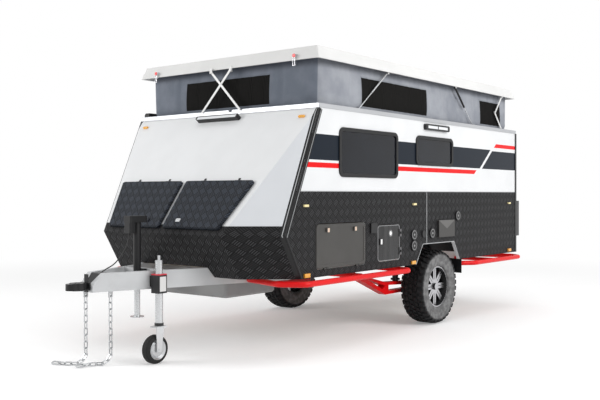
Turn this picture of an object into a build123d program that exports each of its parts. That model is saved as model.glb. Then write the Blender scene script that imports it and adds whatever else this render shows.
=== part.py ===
"""Off-road camper trailer with a lift-up roof, in millimetres.

+X points forward to the hitch, +Y to the trailer's left, +Z up, and z = 0 is the ground.
"""
from build123d import *
from math import atan2, cos, degrees, hypot, radians, sin, tan
import os

os.makedirs("parts", exist_ok=True)

# Clearances
FIT = 0.3                  # between pieces that seat on each other
RUNNING_FIT = 0.05         # radial, shaft in its bore
DOOR_GAP = 6.0             # round a door, and between moving pieces

# Body shell: side outline and slanted nose
BODY_HALF_W = 1150.0
BODY_REAR_X = -2740.0
BODY_TOP_Z = 2141.0
BODY_LOW_Z = 674.0
CORNER_TOP_X = 1341.0      # front corner line of the side walls, from its top
CORNER_NOSE_X = 1811.0
CORNER_LOW_X = 1593.0
NOSE_Z = 1048.0            # height of the nose's foremost ridge
RIDGE_X = 2138.0
RIDGE_HALF_W = 750.0
WALL_T = 30.0
NOSE_T = 24.0
FLOOR_T = 25.0

# Checker plate skins
PLATE_T = 3.0
PLATE_TOP_Z = 1420.0
NOSE_PLATE_TOP_Z = 1125.0

# Chassis
RAIL_TOP_Z = 755.0
RAIL_H = 150.0
RAIL_W = 50.0
RAIL_OUT_Y = 670.0
RAIL_REAR_X = -2700.0
DRAWBAR_JOIN_X = 1190.0
DRAWBAR_TIP_X = 2913.0
DRAWBAR_TIP_Y = 80.0       # outer face at the tip
DRAWBAR_CUT = 100.0        # sloped cut at the front end of each rail
CROSS_XS = (-2650.0, -1960.0, -1330.0, -250.0, 470.0, 1140.0)
CROSS_W = 50.0
CROSS_H = 100.0

# Coupling
EYE_X = DRAWBAR_TIP_X + 87
COUPLING_TIP_X = EYE_X + 100
EYE_Z = 655.0
EYE_R = 25.0
EYE_RING_R = 62.0

# Wheels
AXLE_X = -870.0
TYRE_R = 396.0
TYRE_W = 262.0
TYRE_OUT_Y = BODY_HALF_W - 38
RIM_R = 218.0
RIM_WALL = 12.0
STUB_R = 32.0
LUG_H = 14.0
LUG_COUNT = 20

# Wheel arch opening in the side wall
ARCH_TOP_Z = 872.0
ARCH_TOP_XS = (-1109.0, -441.0)
ARCH_LOW_XS = (-1236.0, -303.0)
WELL_T = 8.0
WELL_IN_Y = BODY_HALF_W - 355

# Rim of the body top and the raised roof
RIM_LIP_Z = 2180.0
RIM_BASE_T = 9.0
RIM_OUT_Y = BODY_HALF_W + 7
RIM_FRONT_X = 1350.0
RIM_REAR_X = -2719.0
RIM_LIP_T = 16.0
RIM_BASE_W = 95.0
ROOF_LOW_Z = 2573.0
ROOF_HALF_W = BODY_HALF_W + 3
ROOF_FRONT_X = 1351.0
ROOF_REAR_X = -2720.0
ROOF_BAND_H = 57.0
ROOF_BAND_IN = 24.0
ROOF_BEVEL_H = 60.0
ROOF_BEVEL_IN = 24.0
ROOF_SKIN = 40.0
ROOF_SKIRT_T = 16.0
ROOF_DROP = 372.0

# Canvas between the rim and the roof
CANVAS_HALF_W = BODY_HALF_W - 80
CANVAS_FRONT_X = 1262.0
CANVAS_REAR_X = -2660.0
CANVAS_T = 6.0
CANVAS_CORNER_R = 60.0


def block(low, high, mode=Mode.ADD):
    """Box between two opposite corners, worked into the part in hand."""
    size = [h - l for l, h in zip(low, high)]
    with Locations(tuple((l + h) / 2 for l, h in zip(low, high))):
        Box(*size, mode=mode)


def rod(start, end, radius, mode=Mode.ADD):
    """Round bar from one point to another."""
    axis = Vector(*end) - Vector(*start)
    with Locations(Plane(origin=start, z_dir=axis)):
        Cylinder(radius, axis.length, align=(Align.CENTER, Align.CENTER, Align.MIN), mode=mode)


def prism_y(points, low_y, high_y, mode=Mode.ADD):
    """Outline of (x, z) points extruded from one y to another."""
    with BuildSketch(Plane.XZ.offset(-low_y)) as outline:
        with BuildLine():
            Polyline(*points, close=True)
        make_face()
    extrude(outline.sketch, amount=low_y - high_y, mode=mode)


def prism_z(points, low_z, high_z, mode=Mode.ADD):
    """Outline of (x, y) points extruded from one height to another."""
    with BuildSketch(Plane.XY.offset(low_z)) as outline:
        with BuildLine():
            Polyline(*points, close=True)
        make_face()
    extrude(outline.sketch, amount=high_z - low_z, mode=mode)


def prism_x(points, low_x, high_x, mode=Mode.ADD):
    """Outline of (y, z) points extruded from one x to another."""
    with BuildSketch(Plane.YZ.offset(low_x)) as outline:
        with BuildLine():
            Polyline(*points, close=True)
        make_face()
    extrude(outline.sketch, amount=high_x - low_x, mode=mode)


def side_panel(side, x0, x1, z0, z1, inner_y, outer_y, radius, mode=Mode.ADD):
    """Rounded rectangle in the plane of a side wall, between two distances from the centre plane."""
    start = side * inner_y
    with BuildSketch(Plane.XZ.offset(-start)) as outline:
        with Locations(((x0 + x1) / 2, (z0 + z1) / 2)):
            RectangleRounded(x1 - x0, z1 - z0, radius)
    extrude(outline.sketch, amount=-side * (outer_y - inner_y), mode=mode)


def keep(builder, name):
    """Label a finished piece and write it to its own file."""
    builder.part.label = name
    export_step(builder.part, f"parts/{name}.step")


# Nose planes: the six slanted faces that trim the body box, each moved out by grow
def nose_planes(grow):
    top = (CORNER_TOP_X, BODY_TOP_Z)
    ridge = (RIDGE_X, NOSE_Z)
    low = (RIDGE_X - (CORNER_NOSE_X - CORNER_LOW_X), BODY_LOW_Z)
    planes = []
    for upper, lower in ((top, ridge), (ridge, low)):
        run = Vector(lower[0] - upper[0], 0, lower[1] - upper[1]).normalized()
        normal = Vector(-run.Z, 0, run.X)
        origin = Vector(upper[0], 0, upper[1]) + normal * grow
        planes.append(Plane(origin=origin, x_dir=(0, 1, 0), z_dir=normal))
    for side in (1, -1):
        corner = Vector(CORNER_NOSE_X, side * BODY_HALF_W, NOSE_Z)
        across = Vector(RIDGE_X, side * RIDGE_HALF_W, NOSE_Z) - corner
        for end in ((CORNER_TOP_X, BODY_TOP_Z), (CORNER_LOW_X, BODY_LOW_Z)):
            along = Vector(end[0], side * BODY_HALF_W, end[1]) - corner
            normal = across.cross(along).normalized()
            if normal.Y * side < 0:
                normal = normal * -1
            planes.append(Plane(origin=corner + normal * grow, x_dir=across, z_dir=normal))
    return planes


def body_solid(grow=0.0, rear=BODY_REAR_X, low=BODY_LOW_Z, high=BODY_TOP_Z):
    """Body as one block, from its rear face to the slanted nose."""
    with BuildPart() as body:
        half = BODY_HALF_W + grow
        block((rear, -half, low), (RIDGE_X + 2 * abs(grow) + 10, half, high))
        for plane in nose_planes(grow):
            split(bisect_by=plane, keep=Keep.BOTTOM)
    return body.part


outer_body = body_solid()
inner_body = body_solid(-NOSE_T, BODY_REAR_X - 50, BODY_LOW_Z - 50, BODY_TOP_Z + 50)
plate_body = body_solid(PLATE_T)
IN_Y = BODY_HALF_W - WALL_T
FLOOR_TOP_Z = RAIL_TOP_Z + FLOOR_T


def front_x(z):
    """Outer face of the sloped front at a height above the ridge."""
    share = (BODY_TOP_Z - z) / (BODY_TOP_Z - NOSE_Z)
    return CORNER_TOP_X + share * (RIDGE_X - CORNER_TOP_X)


def low_front_x(z):
    """Outer face of the front at a height below the ridge."""
    share = (NOSE_Z - z) / (NOSE_Z - BODY_LOW_Z)
    return RIDGE_X - share * (CORNER_NOSE_X - CORNER_LOW_X)


# Windows and doors in the side walls
WINDOW_FRAME_W = 34.0
WINDOW_HOLE_IN = 20.0
WINDOW_R = 62.0
FRAME_PROUD = 11.0
GLASS_T = 6.0
WINDOWS = (
    # side, rear x, front x, low z, high z
    (1, 57.0, 1046.0, 1544.0, 1991.0),
    (1, -1080.0, -293.0, 1686.0, 1991.0),
    (-1, 57.0, 1046.0, 1544.0, 1991.0),
    (-1, -1080.0, -293.0, 1686.0, 1991.0),
)
HATCH_R = 36.0
LOCKER = (1, 627.0, 1386.0, 744.0, 1129.0)
SERVICE = (1, 18.0, 414.0, 748.0, 1090.0)
KITCHEN = (-1, 280.0, 1330.0, 790.0, 1330.0)
DOOR = (-1, -2010.0, -1370.0, 790.0, 2085.0)


def opening(panel):
    """Cut the hole that a door panel closes, with its gap all round."""
    side, x0, x1, z0, z1 = panel
    gap = DOOR_GAP
    side_panel(side, x0 - gap, x1 + gap, z0 - gap, z1 + gap, IN_Y - 20, BODY_HALF_W + 20,
               HATCH_R + gap, Mode.SUBTRACT)


# Side walls
for side, name in ((1, "wall_left"), (-1, "wall_right")):
    with BuildPart() as wall:
        add(outer_body)
        block((BODY_REAR_X, min(side * IN_Y, side * BODY_HALF_W), BODY_LOW_Z),
              (RIDGE_X, max(side * IN_Y, side * BODY_HALF_W), BODY_TOP_Z), Mode.INTERSECT)
        prism_y(((ARCH_LOW_XS[0], BODY_LOW_Z), (ARCH_TOP_XS[0], ARCH_TOP_Z),
                 (ARCH_TOP_XS[1], ARCH_TOP_Z), (ARCH_LOW_XS[1], BODY_LOW_Z)),
                side * (IN_Y - 20), side * (BODY_HALF_W + 20), Mode.SUBTRACT)
        for where, x0, x1, z0, z1 in WINDOWS:
            if where == side:
                inset = WINDOW_HOLE_IN
                side_panel(side, x0 + inset, x1 - inset, z0 + inset, z1 - inset, IN_Y - 20,
                           BODY_HALF_W + 20, WINDOW_R - inset, Mode.SUBTRACT)
        for panel in (LOCKER, SERVICE, KITCHEN, DOOR):
            if panel[0] == side:
                opening(panel)
    keep(wall, name)

# Rear wall, between the side walls
with BuildPart() as wall_rear:
    block((BODY_REAR_X, -IN_Y, BODY_LOW_Z), (BODY_REAR_X + WALL_T, IN_Y, BODY_TOP_Z))
keep(wall_rear, "wall_rear")

# Floor on the chassis, with the wheel wells left out
WELL_XS = (ARCH_LOW_XS[0] - WELL_T, ARCH_LOW_XS[1] + WELL_T)
with BuildPart() as floor:
    add(inner_body)
    block((BODY_REAR_X + WALL_T, -IN_Y, RAIL_TOP_Z), (RIDGE_X, IN_Y, FLOOR_TOP_Z), Mode.INTERSECT)
    for side in (1, -1):
        low, high = sorted((side * (WELL_IN_Y - WELL_T - FIT), side * (IN_Y + 10)))
        block((WELL_XS[0] - FIT, low, RAIL_TOP_Z - 10), (WELL_XS[1] + FIT, high, FLOOR_TOP_Z + 10),
              Mode.SUBTRACT)
keep(floor, "floor")

# Nose shell with the two lid openings and the cut-out over the drawbar
LID_RAISE = 33.0
LID_T = 26.0
LID_TOP_Z = 1496.0
LID_LOW_Z = 1086.0
LID_IN_Y = 25.0
LID_TOP_Y = 844.0
LID_LOW_Y = 695.0
LID_LAP = 32.0
CUT_HALF_W = 430.0
CUT_FLARE = 35.0
slope_x = front_x(LID_LOW_Z) - front_x(LID_TOP_Z)
SLOPE_LEN = hypot(slope_x, LID_TOP_Z - LID_LOW_Z)
SLOPE = degrees(atan2(slope_x, LID_TOP_Z - LID_LOW_Z))


def lid_plane(raised):
    """Plane on the sloped front at the top of the lids, x across to the left, y up the slope."""
    normal = Vector(cos(radians(SLOPE)), 0, sin(radians(SLOPE)))
    origin = Vector(front_x(LID_TOP_Z), 0, LID_TOP_Z) + normal * raised
    return Plane(origin=origin, x_dir=(0, 1, 0), z_dir=normal)


def lid_outline(side, inset):
    """Corner points of one lid in its plane, pulled in by inset."""
    lean = (LID_TOP_Y - LID_LOW_Y) / SLOPE_LEN
    top_y = LID_TOP_Y - inset * (lean + hypot(1, lean))
    low_y = LID_LOW_Y + inset * (lean - hypot(1, lean))
    points = ((LID_IN_Y + inset, -inset), (top_y, -inset),
              (low_y, inset - SLOPE_LEN), (LID_IN_Y + inset, inset - SLOPE_LEN))
    return [(side * across, along) for across, along in points]


with BuildPart() as nose_shell:
    add(outer_body)
    add(inner_body, mode=Mode.SUBTRACT)
    block((CORNER_TOP_X - 200, -IN_Y, BODY_LOW_Z), (RIDGE_X, IN_Y, BODY_TOP_Z), Mode.INTERSECT)
    for side in (1, -1):
        with BuildSketch(lid_plane(20)) as hole:
            with BuildLine():
                Polyline(*lid_outline(side, LID_LAP), close=True)
            make_face()
        extrude(hole.sketch, amount=-NOSE_T - 40, mode=Mode.SUBTRACT)
    prism_x(((-CUT_HALF_W - CUT_FLARE, BODY_LOW_Z - 1), (-CUT_HALF_W, RAIL_TOP_Z + 6),
             (CUT_HALF_W, RAIL_TOP_Z + 6), (CUT_HALF_W + CUT_FLARE, BODY_LOW_Z - 1)),
            CORNER_TOP_X, RIDGE_X, Mode.SUBTRACT)
keep(nose_shell, "nose_shell")

# Checker plate skins on the nose and on the sides
with BuildPart() as nose_plate:
    add(plate_body)
    add(outer_body, mode=Mode.SUBTRACT)
    block((CORNER_LOW_X, -IN_Y, BODY_LOW_Z), (RIDGE_X + 20, IN_Y, NOSE_PLATE_TOP_Z), Mode.INTERSECT)
    prism_x(((-CUT_HALF_W - CUT_FLARE, BODY_LOW_Z - 1), (-CUT_HALF_W, RAIL_TOP_Z + 6),
             (CUT_HALF_W, RAIL_TOP_Z + 6), (CUT_HALF_W + CUT_FLARE, BODY_LOW_Z - 1)),
            CORNER_TOP_X, RIDGE_X + 20, Mode.SUBTRACT)
    for side in (1, -1):
        with BuildSketch(lid_plane(20)) as hole:
            with BuildLine():
                Polyline(*lid_outline(side, LID_LAP), close=True)
            make_face()
        extrude(hole.sketch, amount=-NOSE_T - 40, mode=Mode.SUBTRACT)

with BuildPart() as checker_plates:
    add(nose_plate.part)
    plate_front = CORNER_NOSE_X - (PLATE_TOP_Z - NOSE_Z) * (CORNER_NOSE_X - CORNER_TOP_X) \
        / (BODY_TOP_Z - NOSE_Z)
    for side in (1, -1):
        prism_y(((BODY_REAR_X, BODY_LOW_Z), (CORNER_LOW_X, BODY_LOW_Z), (CORNER_NOSE_X, NOSE_Z),
                 (plate_front, PLATE_TOP_Z), (BODY_REAR_X, PLATE_TOP_Z)),
                side * BODY_HALF_W, side * (BODY_HALF_W + PLATE_T))
        prism_y(((ARCH_LOW_XS[0], BODY_LOW_Z - 1), (ARCH_TOP_XS[0], ARCH_TOP_Z),
                 (ARCH_TOP_XS[1], ARCH_TOP_Z), (ARCH_LOW_XS[1], BODY_LOW_Z - 1)),
                side * (IN_Y - 20), side * (BODY_HALF_W + 20), Mode.SUBTRACT)
    for panel in (LOCKER, SERVICE, KITCHEN, DOOR):
        opening(panel)
keep(checker_plates, "checker_plates")

# Trims: ribbed corner extrusions at the nose, plain ones at the rear and along the plate's top
TRIM_T = 5.0
TRIM_W = 46.0
TRIM_RIBS = 5
with BuildPart() as corner_trims:
    top = Vector(CORNER_TOP_X, BODY_HALF_W, BODY_TOP_Z)
    nose = Vector(CORNER_NOSE_X, BODY_HALF_W, NOSE_Z)
    low = Vector(CORNER_LOW_X, BODY_HALF_W, BODY_LOW_Z)
    for start, end, width, ribs in ((top, nose, TRIM_W, TRIM_RIBS), (nose, low, TRIM_W / 2, 1)):
        run = (end - start).normalized()
        section = Plane(origin=start, x_dir=Vector(0, 1, 0), z_dir=run)
        aft = 1 if section.y_dir.X < 0 else -1
        pitch = width / ribs
        with BuildSketch(section) as profile:
            for rib in range(ribs):
                with Locations((PLATE_T + TRIM_T / 2, aft * (rib + 0.5) * pitch)):
                    Rectangle(TRIM_T, pitch * 0.62)
            with Locations((PLATE_T + TRIM_T / 4, aft * width / 2)):
                Rectangle(TRIM_T / 2, width)
        extrude(profile.sketch, amount=(end - start).length)
    block((BODY_REAR_X, BODY_HALF_W + PLATE_T, BODY_LOW_Z),
          (BODY_REAR_X + 38, BODY_HALF_W + PLATE_T + 4, BODY_TOP_Z))
    mirror(about=Plane.XZ)
keep(corner_trims, "corner_trims")

# Window frames and panes
with BuildPart() as window_frames:
    for side, x0, x1, z0, z1 in WINDOWS:
        side_panel(side, x0, x1, z0, z1, BODY_HALF_W, BODY_HALF_W + FRAME_PROUD, WINDOW_R)
        hole = WINDOW_HOLE_IN + FIT
        side_panel(side, x0 + hole, x1 - hole, z0 + hole, z1 - hole, IN_Y, BODY_HALF_W,
                   WINDOW_R - hole)
        inset = WINDOW_FRAME_W
        side_panel(side, x0 + inset, x1 - inset, z0 + inset, z1 - inset, IN_Y - 5,
                   BODY_HALF_W + FRAME_PROUD + 5, WINDOW_R - inset, Mode.SUBTRACT)
keep(window_frames, "window_frames")

with BuildPart() as window_glass:
    for side, x0, x1, z0, z1 in WINDOWS:
        inset = WINDOW_FRAME_W + FIT
        side_panel(side, x0 + inset, x1 - inset, z0 + inset, z1 - inset, BODY_HALF_W - GLASS_T,
                   BODY_HALF_W, WINDOW_R - inset)
keep(window_glass, "window_glass")

# Chassis rails and the members between them
RAIL_LOW_Z = RAIL_TOP_Z - RAIL_H
with BuildPart() as chassis_rails:
    for side in (1, -1):
        low, high = sorted((side * (RAIL_OUT_Y - RAIL_W), side * RAIL_OUT_Y))
        block((RAIL_REAR_X, low, RAIL_LOW_Z), (DRAWBAR_JOIN_X, high, RAIL_TOP_Z))
keep(chassis_rails, "chassis_rails")

with BuildPart() as cross_members:
    for x in CROSS_XS:
        half = RAIL_OUT_Y - RAIL_W
        block((x - CROSS_W / 2, -half, RAIL_TOP_Z - CROSS_H), (x + CROSS_W / 2, half, RAIL_TOP_Z))
keep(cross_members, "cross_members")

# Drawbar: two converging rails with sloped ends
lean = (RAIL_OUT_Y - DRAWBAR_TIP_Y) / (DRAWBAR_TIP_X - DRAWBAR_JOIN_X)
DRAWBAR_ACROSS = RAIL_W * hypot(1, lean)
NOSE_TIE_X = DRAWBAR_TIP_X - 213
JACK_X = 2385.0
JACK_TIE_X = JACK_X - 105
LUG_W = 40.0
LUG_T = 10.0
LUG_HOLE_R = 9.0
LUG_HOLE_Z = 571.0
CHAINS = (
    # top x, y, then the headings of the links on the ground, degrees from +x
    (DRAWBAR_TIP_X - 165, 98.0, (-45, -27, -8)),
    (DRAWBAR_TIP_X - 49, -72.0, (-45, -57, -70)),
)


def drawbar_y(x):
    """Outer face of the left drawbar rail."""
    return DRAWBAR_TIP_Y + (DRAWBAR_TIP_X - x) * lean


with BuildPart() as drawbar:
    for side in (1, -1):
        prism_z([(x, side * (drawbar_y(x) - inset)) for x, inset in (
            (DRAWBAR_JOIN_X, 0), (DRAWBAR_TIP_X, 0), (DRAWBAR_TIP_X, DRAWBAR_ACROSS),
            (DRAWBAR_JOIN_X, DRAWBAR_ACROSS))], RAIL_LOW_Z, RAIL_TOP_Z)
    prism_y(((DRAWBAR_TIP_X - DRAWBAR_CUT, RAIL_TOP_Z + 1), (DRAWBAR_TIP_X + 1, EYE_Z + 5),
             (DRAWBAR_TIP_X + 1, RAIL_TOP_Z + 1)), -300, 300, Mode.SUBTRACT)
    half = drawbar_y(JACK_TIE_X + CROSS_W) - DRAWBAR_ACROSS + 10
    block((JACK_TIE_X, -half, RAIL_TOP_Z - CROSS_H), (JACK_TIE_X + CROSS_W, half, RAIL_TOP_Z))
    for x, y, *_ in CHAINS:
        block((x - LUG_W / 2, y - LUG_T / 2, LUG_HOLE_Z - 16), (x + LUG_W / 2, y + LUG_T / 2,
                                                               RAIL_LOW_Z))
        rod((x, y - LUG_T, LUG_HOLE_Z), (x, y + LUG_T, LUG_HOLE_Z), LUG_HOLE_R, Mode.SUBTRACT)
keep(drawbar, "drawbar")

# Plate between the rails at the front
with BuildPart() as drawbar_plate:
    half_rear = drawbar_y(NOSE_TIE_X) - DRAWBAR_ACROSS
    half_front = drawbar_y(DRAWBAR_TIP_X) - DRAWBAR_ACROSS
    prism_z(((NOSE_TIE_X, -half_rear), (DRAWBAR_TIP_X, -half_front), (DRAWBAR_TIP_X, half_front),
             (NOSE_TIE_X, half_rear)), RAIL_LOW_Z, RAIL_TOP_Z - 6)
    prism_y(((DRAWBAR_TIP_X - DRAWBAR_CUT - 6, RAIL_TOP_Z + 1), (DRAWBAR_TIP_X - 1, EYE_Z + 3),
             (DRAWBAR_TIP_X - 1, RAIL_TOP_Z + 1)), -300, 300, Mode.SUBTRACT)
    block((NOSE_TIE_X - 1, -300, RAIL_LOW_Z - 1), (DRAWBAR_TIP_X - 150, 300, EYE_Z + 70),
          Mode.SUBTRACT)

# Coupling: flange plate, shank and the flat eye
COUPLING_PLATE_T = 14.0
with BuildPart() as coupling:
    add(drawbar_plate.part)
    block((DRAWBAR_TIP_X, -58, EYE_Z - 34), (DRAWBAR_TIP_X + COUPLING_PLATE_T, 58, EYE_Z + 30))
    block((DRAWBAR_TIP_X, -34, EYE_Z - 24), (EYE_X, 34, EYE_Z + 24))
    rod((EYE_X, 0, EYE_Z - 30), (EYE_X, 0, EYE_Z + 30), EYE_RING_R)
    rod((COUPLING_TIP_X - 52, 0, EYE_Z - 26), (COUPLING_TIP_X - 52, 0, EYE_Z + 26), 52)
    rod((EYE_X, 0, EYE_Z - 31), (EYE_X, 0, EYE_Z + 31), EYE_R, Mode.SUBTRACT)
keep(coupling, "coupling")

# Wheel wells inside the body, and the mud flaps behind the wheels
FLAP_T = 8.0
FLAP_LOW_Z = 515.0
with BuildPart() as wheel_wells:
    for side in (1, -1):
        near, far = side * (WELL_IN_Y - WELL_T), side * (IN_Y - FIT)
        outer = ((WELL_XS[0], RAIL_TOP_Z), (ARCH_TOP_XS[0] - WELL_T, ARCH_TOP_Z + WELL_T),
                 (ARCH_TOP_XS[1] + WELL_T, ARCH_TOP_Z + WELL_T), (WELL_XS[1], RAIL_TOP_Z))
        prism_y(outer, near, far)
        inner = ((WELL_XS[0] + WELL_T, RAIL_TOP_Z - 1), (ARCH_TOP_XS[0], ARCH_TOP_Z),
                 (ARCH_TOP_XS[1], ARCH_TOP_Z), (WELL_XS[1] - WELL_T, RAIL_TOP_Z - 1))
        prism_y(inner, side * WELL_IN_Y, side * (IN_Y + 10), Mode.SUBTRACT)
    for side in (1, -1):
        low, high = sorted((side * (TYRE_OUT_Y - TYRE_W), side * (BODY_HALF_W - 2)))
        block((ARCH_LOW_XS[0] - 62, low, FLAP_LOW_Z), (ARCH_LOW_XS[0] - 62 + FLAP_T, high,
                                                       BODY_LOW_Z))
keep(wheel_wells, "wheel_wells")

# Tyres with their shoulder lugs, and alloy rims, about the wheel's own axis
TYRE_MID_Y = TYRE_OUT_Y - TYRE_W / 2
TREAD_R = TYRE_R - LUG_H
LUG_DEEP = 72.0
LUG_SHARE = 0.58
SHOULDER = 60.0
SPOKES = 8
SPOKE_W = 26.0
SPOKE_SPREAD = 16.0
DISC_T = 26.0
DISC_OUT = 66.0            # spoke face outboard of the wheel's mid plane
HUB_R = 74.0
HUB_TUBE = 90.0
CAP_H = 22.0
BORE_DEEP = 86.0


def wheel_planes(centre, outward):
    """Section plane that holds the axis, and the wheel's mid plane facing outboard."""
    up = Vector(0, 0, 1)
    outward = Vector(*outward)
    section = Plane(origin=centre, x_dir=up, z_dir=up.cross(outward))
    return section, Plane(origin=centre, x_dir=up, z_dir=outward)


def tyre_ring(centre, outward):
    """Ring of a tyre with raised lugs on both edges of the tread."""
    section, middle = wheel_planes(centre, outward)
    half = TYRE_W / 2
    with BuildSketch(section) as ring:
        with BuildLine():
            Polyline((RIM_R, half - 16), (RIM_R + 46, half), (TREAD_R - SHOULDER, half),
                     (TREAD_R, half - 30), (TREAD_R, 30 - half), (TREAD_R - SHOULDER, -half),
                     (RIM_R + 46, -half), (RIM_R, 16 - half), close=True)
        make_face()
    revolve(ring.sketch, axis=Axis(centre, outward))
    for edge in (1, -1):
        with BuildSketch(middle.offset(edge * half)) as lugs:
            with PolarLocations(TYRE_R - LUG_H * 2, LUG_COUNT, start_angle=edge * 90 / LUG_COUNT):
                Rectangle(LUG_H * 4, TYRE_R * 6.28 / LUG_COUNT * LUG_SHARE)
        extrude(lugs.sketch, amount=-edge * LUG_DEEP)
    with BuildSketch(middle.offset(-TYRE_W)) as tread:
        Circle(TYRE_R)
    extrude(tread.sketch, amount=2 * TYRE_W, mode=Mode.INTERSECT)


def rim_wheel(centre, outward, bore):
    """Alloy rim: barrel, paired spokes, hub tube and cap."""
    section, middle = wheel_planes(centre, outward)
    lip = TYRE_W / 2 - 30
    well = RIM_R - 2.5 * RIM_WALL
    with BuildSketch(section) as barrel:
        with BuildLine():
            Polyline((RIM_R - FIT, lip), (RIM_R - FIT, -lip), (RIM_R - RIM_WALL, -lip),
                     (well, 60 - lip), (well, lip - 60), (RIM_R - RIM_WALL, lip), close=True)
        make_face()
    revolve(barrel.sketch, axis=Axis(centre, outward))
    with BuildSketch(middle.offset(DISC_OUT - DISC_T)) as disc:
        Circle(HUB_R)
        with PolarLocations(RIM_R / 2, SPOKES):
            with Locations((0, SPOKE_SPREAD), (0, -SPOKE_SPREAD)):
                Rectangle(RIM_R - 2 * RIM_WALL, SPOKE_W)
    extrude(disc.sketch, amount=DISC_T)
    with BuildSketch(middle.offset(DISC_OUT - HUB_TUBE)) as tube:
        Circle(HUB_R)
    extrude(tube.sketch, amount=HUB_TUBE)
    with BuildSketch(middle.offset(DISC_OUT)) as cap:
        Circle(HUB_R / 2)
    extrude(cap.sketch, amount=CAP_H, taper=8)
    if bore:
        with BuildSketch(middle.offset(DISC_OUT - HUB_TUBE)) as hole:
            Circle(bore)
        extrude(hole.sketch, amount=BORE_DEEP, mode=Mode.SUBTRACT)


for side, name in ((1, "left"), (-1, "right")):
    centre = (AXLE_X, side * TYRE_MID_Y, TYRE_R)
    with BuildPart() as road_tyre:
        tyre_ring(centre, (0, side, 0))
    keep(road_tyre, f"tyre_{name}")
    with BuildPart() as road_rim:
        rim_wheel(centre, (0, side, 0), STUB_R + RUNNING_FIT)
    keep(road_rim, f"rim_{name}")

# Trailing arms with their pivot brackets
PIVOT_X = 150.0
PIVOT_Z = 560.0
PIVOT_R = 36.0
ARM_IN_Y = 700.0
ARM_OUT_Y = 785.0
ARM_KNEE_X = -300.0
ARM_LOW_Z = 340.0
ARM_H = 90.0
with BuildPart() as trailing_arms:
    arm = ((PIVOT_X + 40, PIVOT_Z + 25), (PIVOT_X + 40, PIVOT_Z - 25), (ARM_KNEE_X, ARM_LOW_Z),
           (AXLE_X - 70, ARM_LOW_Z), (AXLE_X - 70, TYRE_R + 45), (ARM_KNEE_X, TYRE_R + 75))
    prism_y(arm, ARM_IN_Y, ARM_OUT_Y)
    window = ((PIVOT_X - 110, PIVOT_Z - 34), (ARM_KNEE_X + 60, ARM_LOW_Z + 62),
              (ARM_KNEE_X + 10, TYRE_R + 38))
    prism_y(window, ARM_IN_Y - 5, ARM_OUT_Y + 5, Mode.SUBTRACT)
    rear_window = ((ARM_KNEE_X - 60, ARM_LOW_Z + 34), (AXLE_X + 120, ARM_LOW_Z + 34),
                   (AXLE_X + 120, TYRE_R + 18), (ARM_KNEE_X - 60, TYRE_R + 40))
    prism_y(rear_window, ARM_IN_Y - 5, ARM_OUT_Y + 5, Mode.SUBTRACT)
    rod((PIVOT_X, RAIL_OUT_Y - 130, PIVOT_Z), (PIVOT_X, ARM_OUT_Y, PIVOT_Z), PIVOT_R)
    for bracket_y in (RAIL_OUT_Y - RAIL_W, RAIL_OUT_Y - 12):
        block((PIVOT_X - 60, bracket_y, PIVOT_Z - 50), (PIVOT_X + 60, bracket_y + 12, RAIL_LOW_Z))
    mirror(about=Plane.XZ)
keep(trailing_arms, "trailing_arms")

# Stub axles with brake drums
DRUM_R = 150.0
DRUM_YS = (ARM_OUT_Y + 60, TYRE_MID_Y + DISC_OUT - HUB_TUBE - 12)
with BuildPart() as brake_hubs:
    rod((AXLE_X, ARM_OUT_Y, TYRE_R), (AXLE_X, TYRE_MID_Y + 56, TYRE_R), STUB_R)
    rod((AXLE_X, DRUM_YS[0], TYRE_R), (AXLE_X, DRUM_YS[1], TYRE_R), DRUM_R)
    mirror(about=Plane.XZ)

# Coil springs and dampers between the arms and the chassis
COIL_X = AXLE_X + 290
COIL_R = 50.0
COIL_WIRE_R = 9.0
COIL_TURNS = 4
COIL_Y = 730.0
DAMPER_X = AXLE_X + 30
with BuildPart() as suspension:
    for ring in range(COIL_TURNS + 1):
        z = TYRE_R + 75 + ring * 55
        rod((COIL_X, COIL_Y, z), (COIL_X, COIL_Y, z + 18), COIL_R)
    rod((COIL_X, COIL_Y, TYRE_R + 40), (COIL_X, COIL_Y, RAIL_TOP_Z), COIL_R - 2 * COIL_WIRE_R)
    rod((DAMPER_X, COIL_Y, TYRE_R + 40), (DAMPER_X, COIL_Y, RAIL_TOP_Z - 120), 28)
    rod((DAMPER_X, COIL_Y, RAIL_TOP_Z - 120), (DAMPER_X, COIL_Y, RAIL_TOP_Z), 14)
    mirror(about=Plane.XZ)
    add(brake_hubs.part)
    add(trailing_arms.part, mode=Mode.SUBTRACT)
keep(suspension, "suspension")

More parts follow.
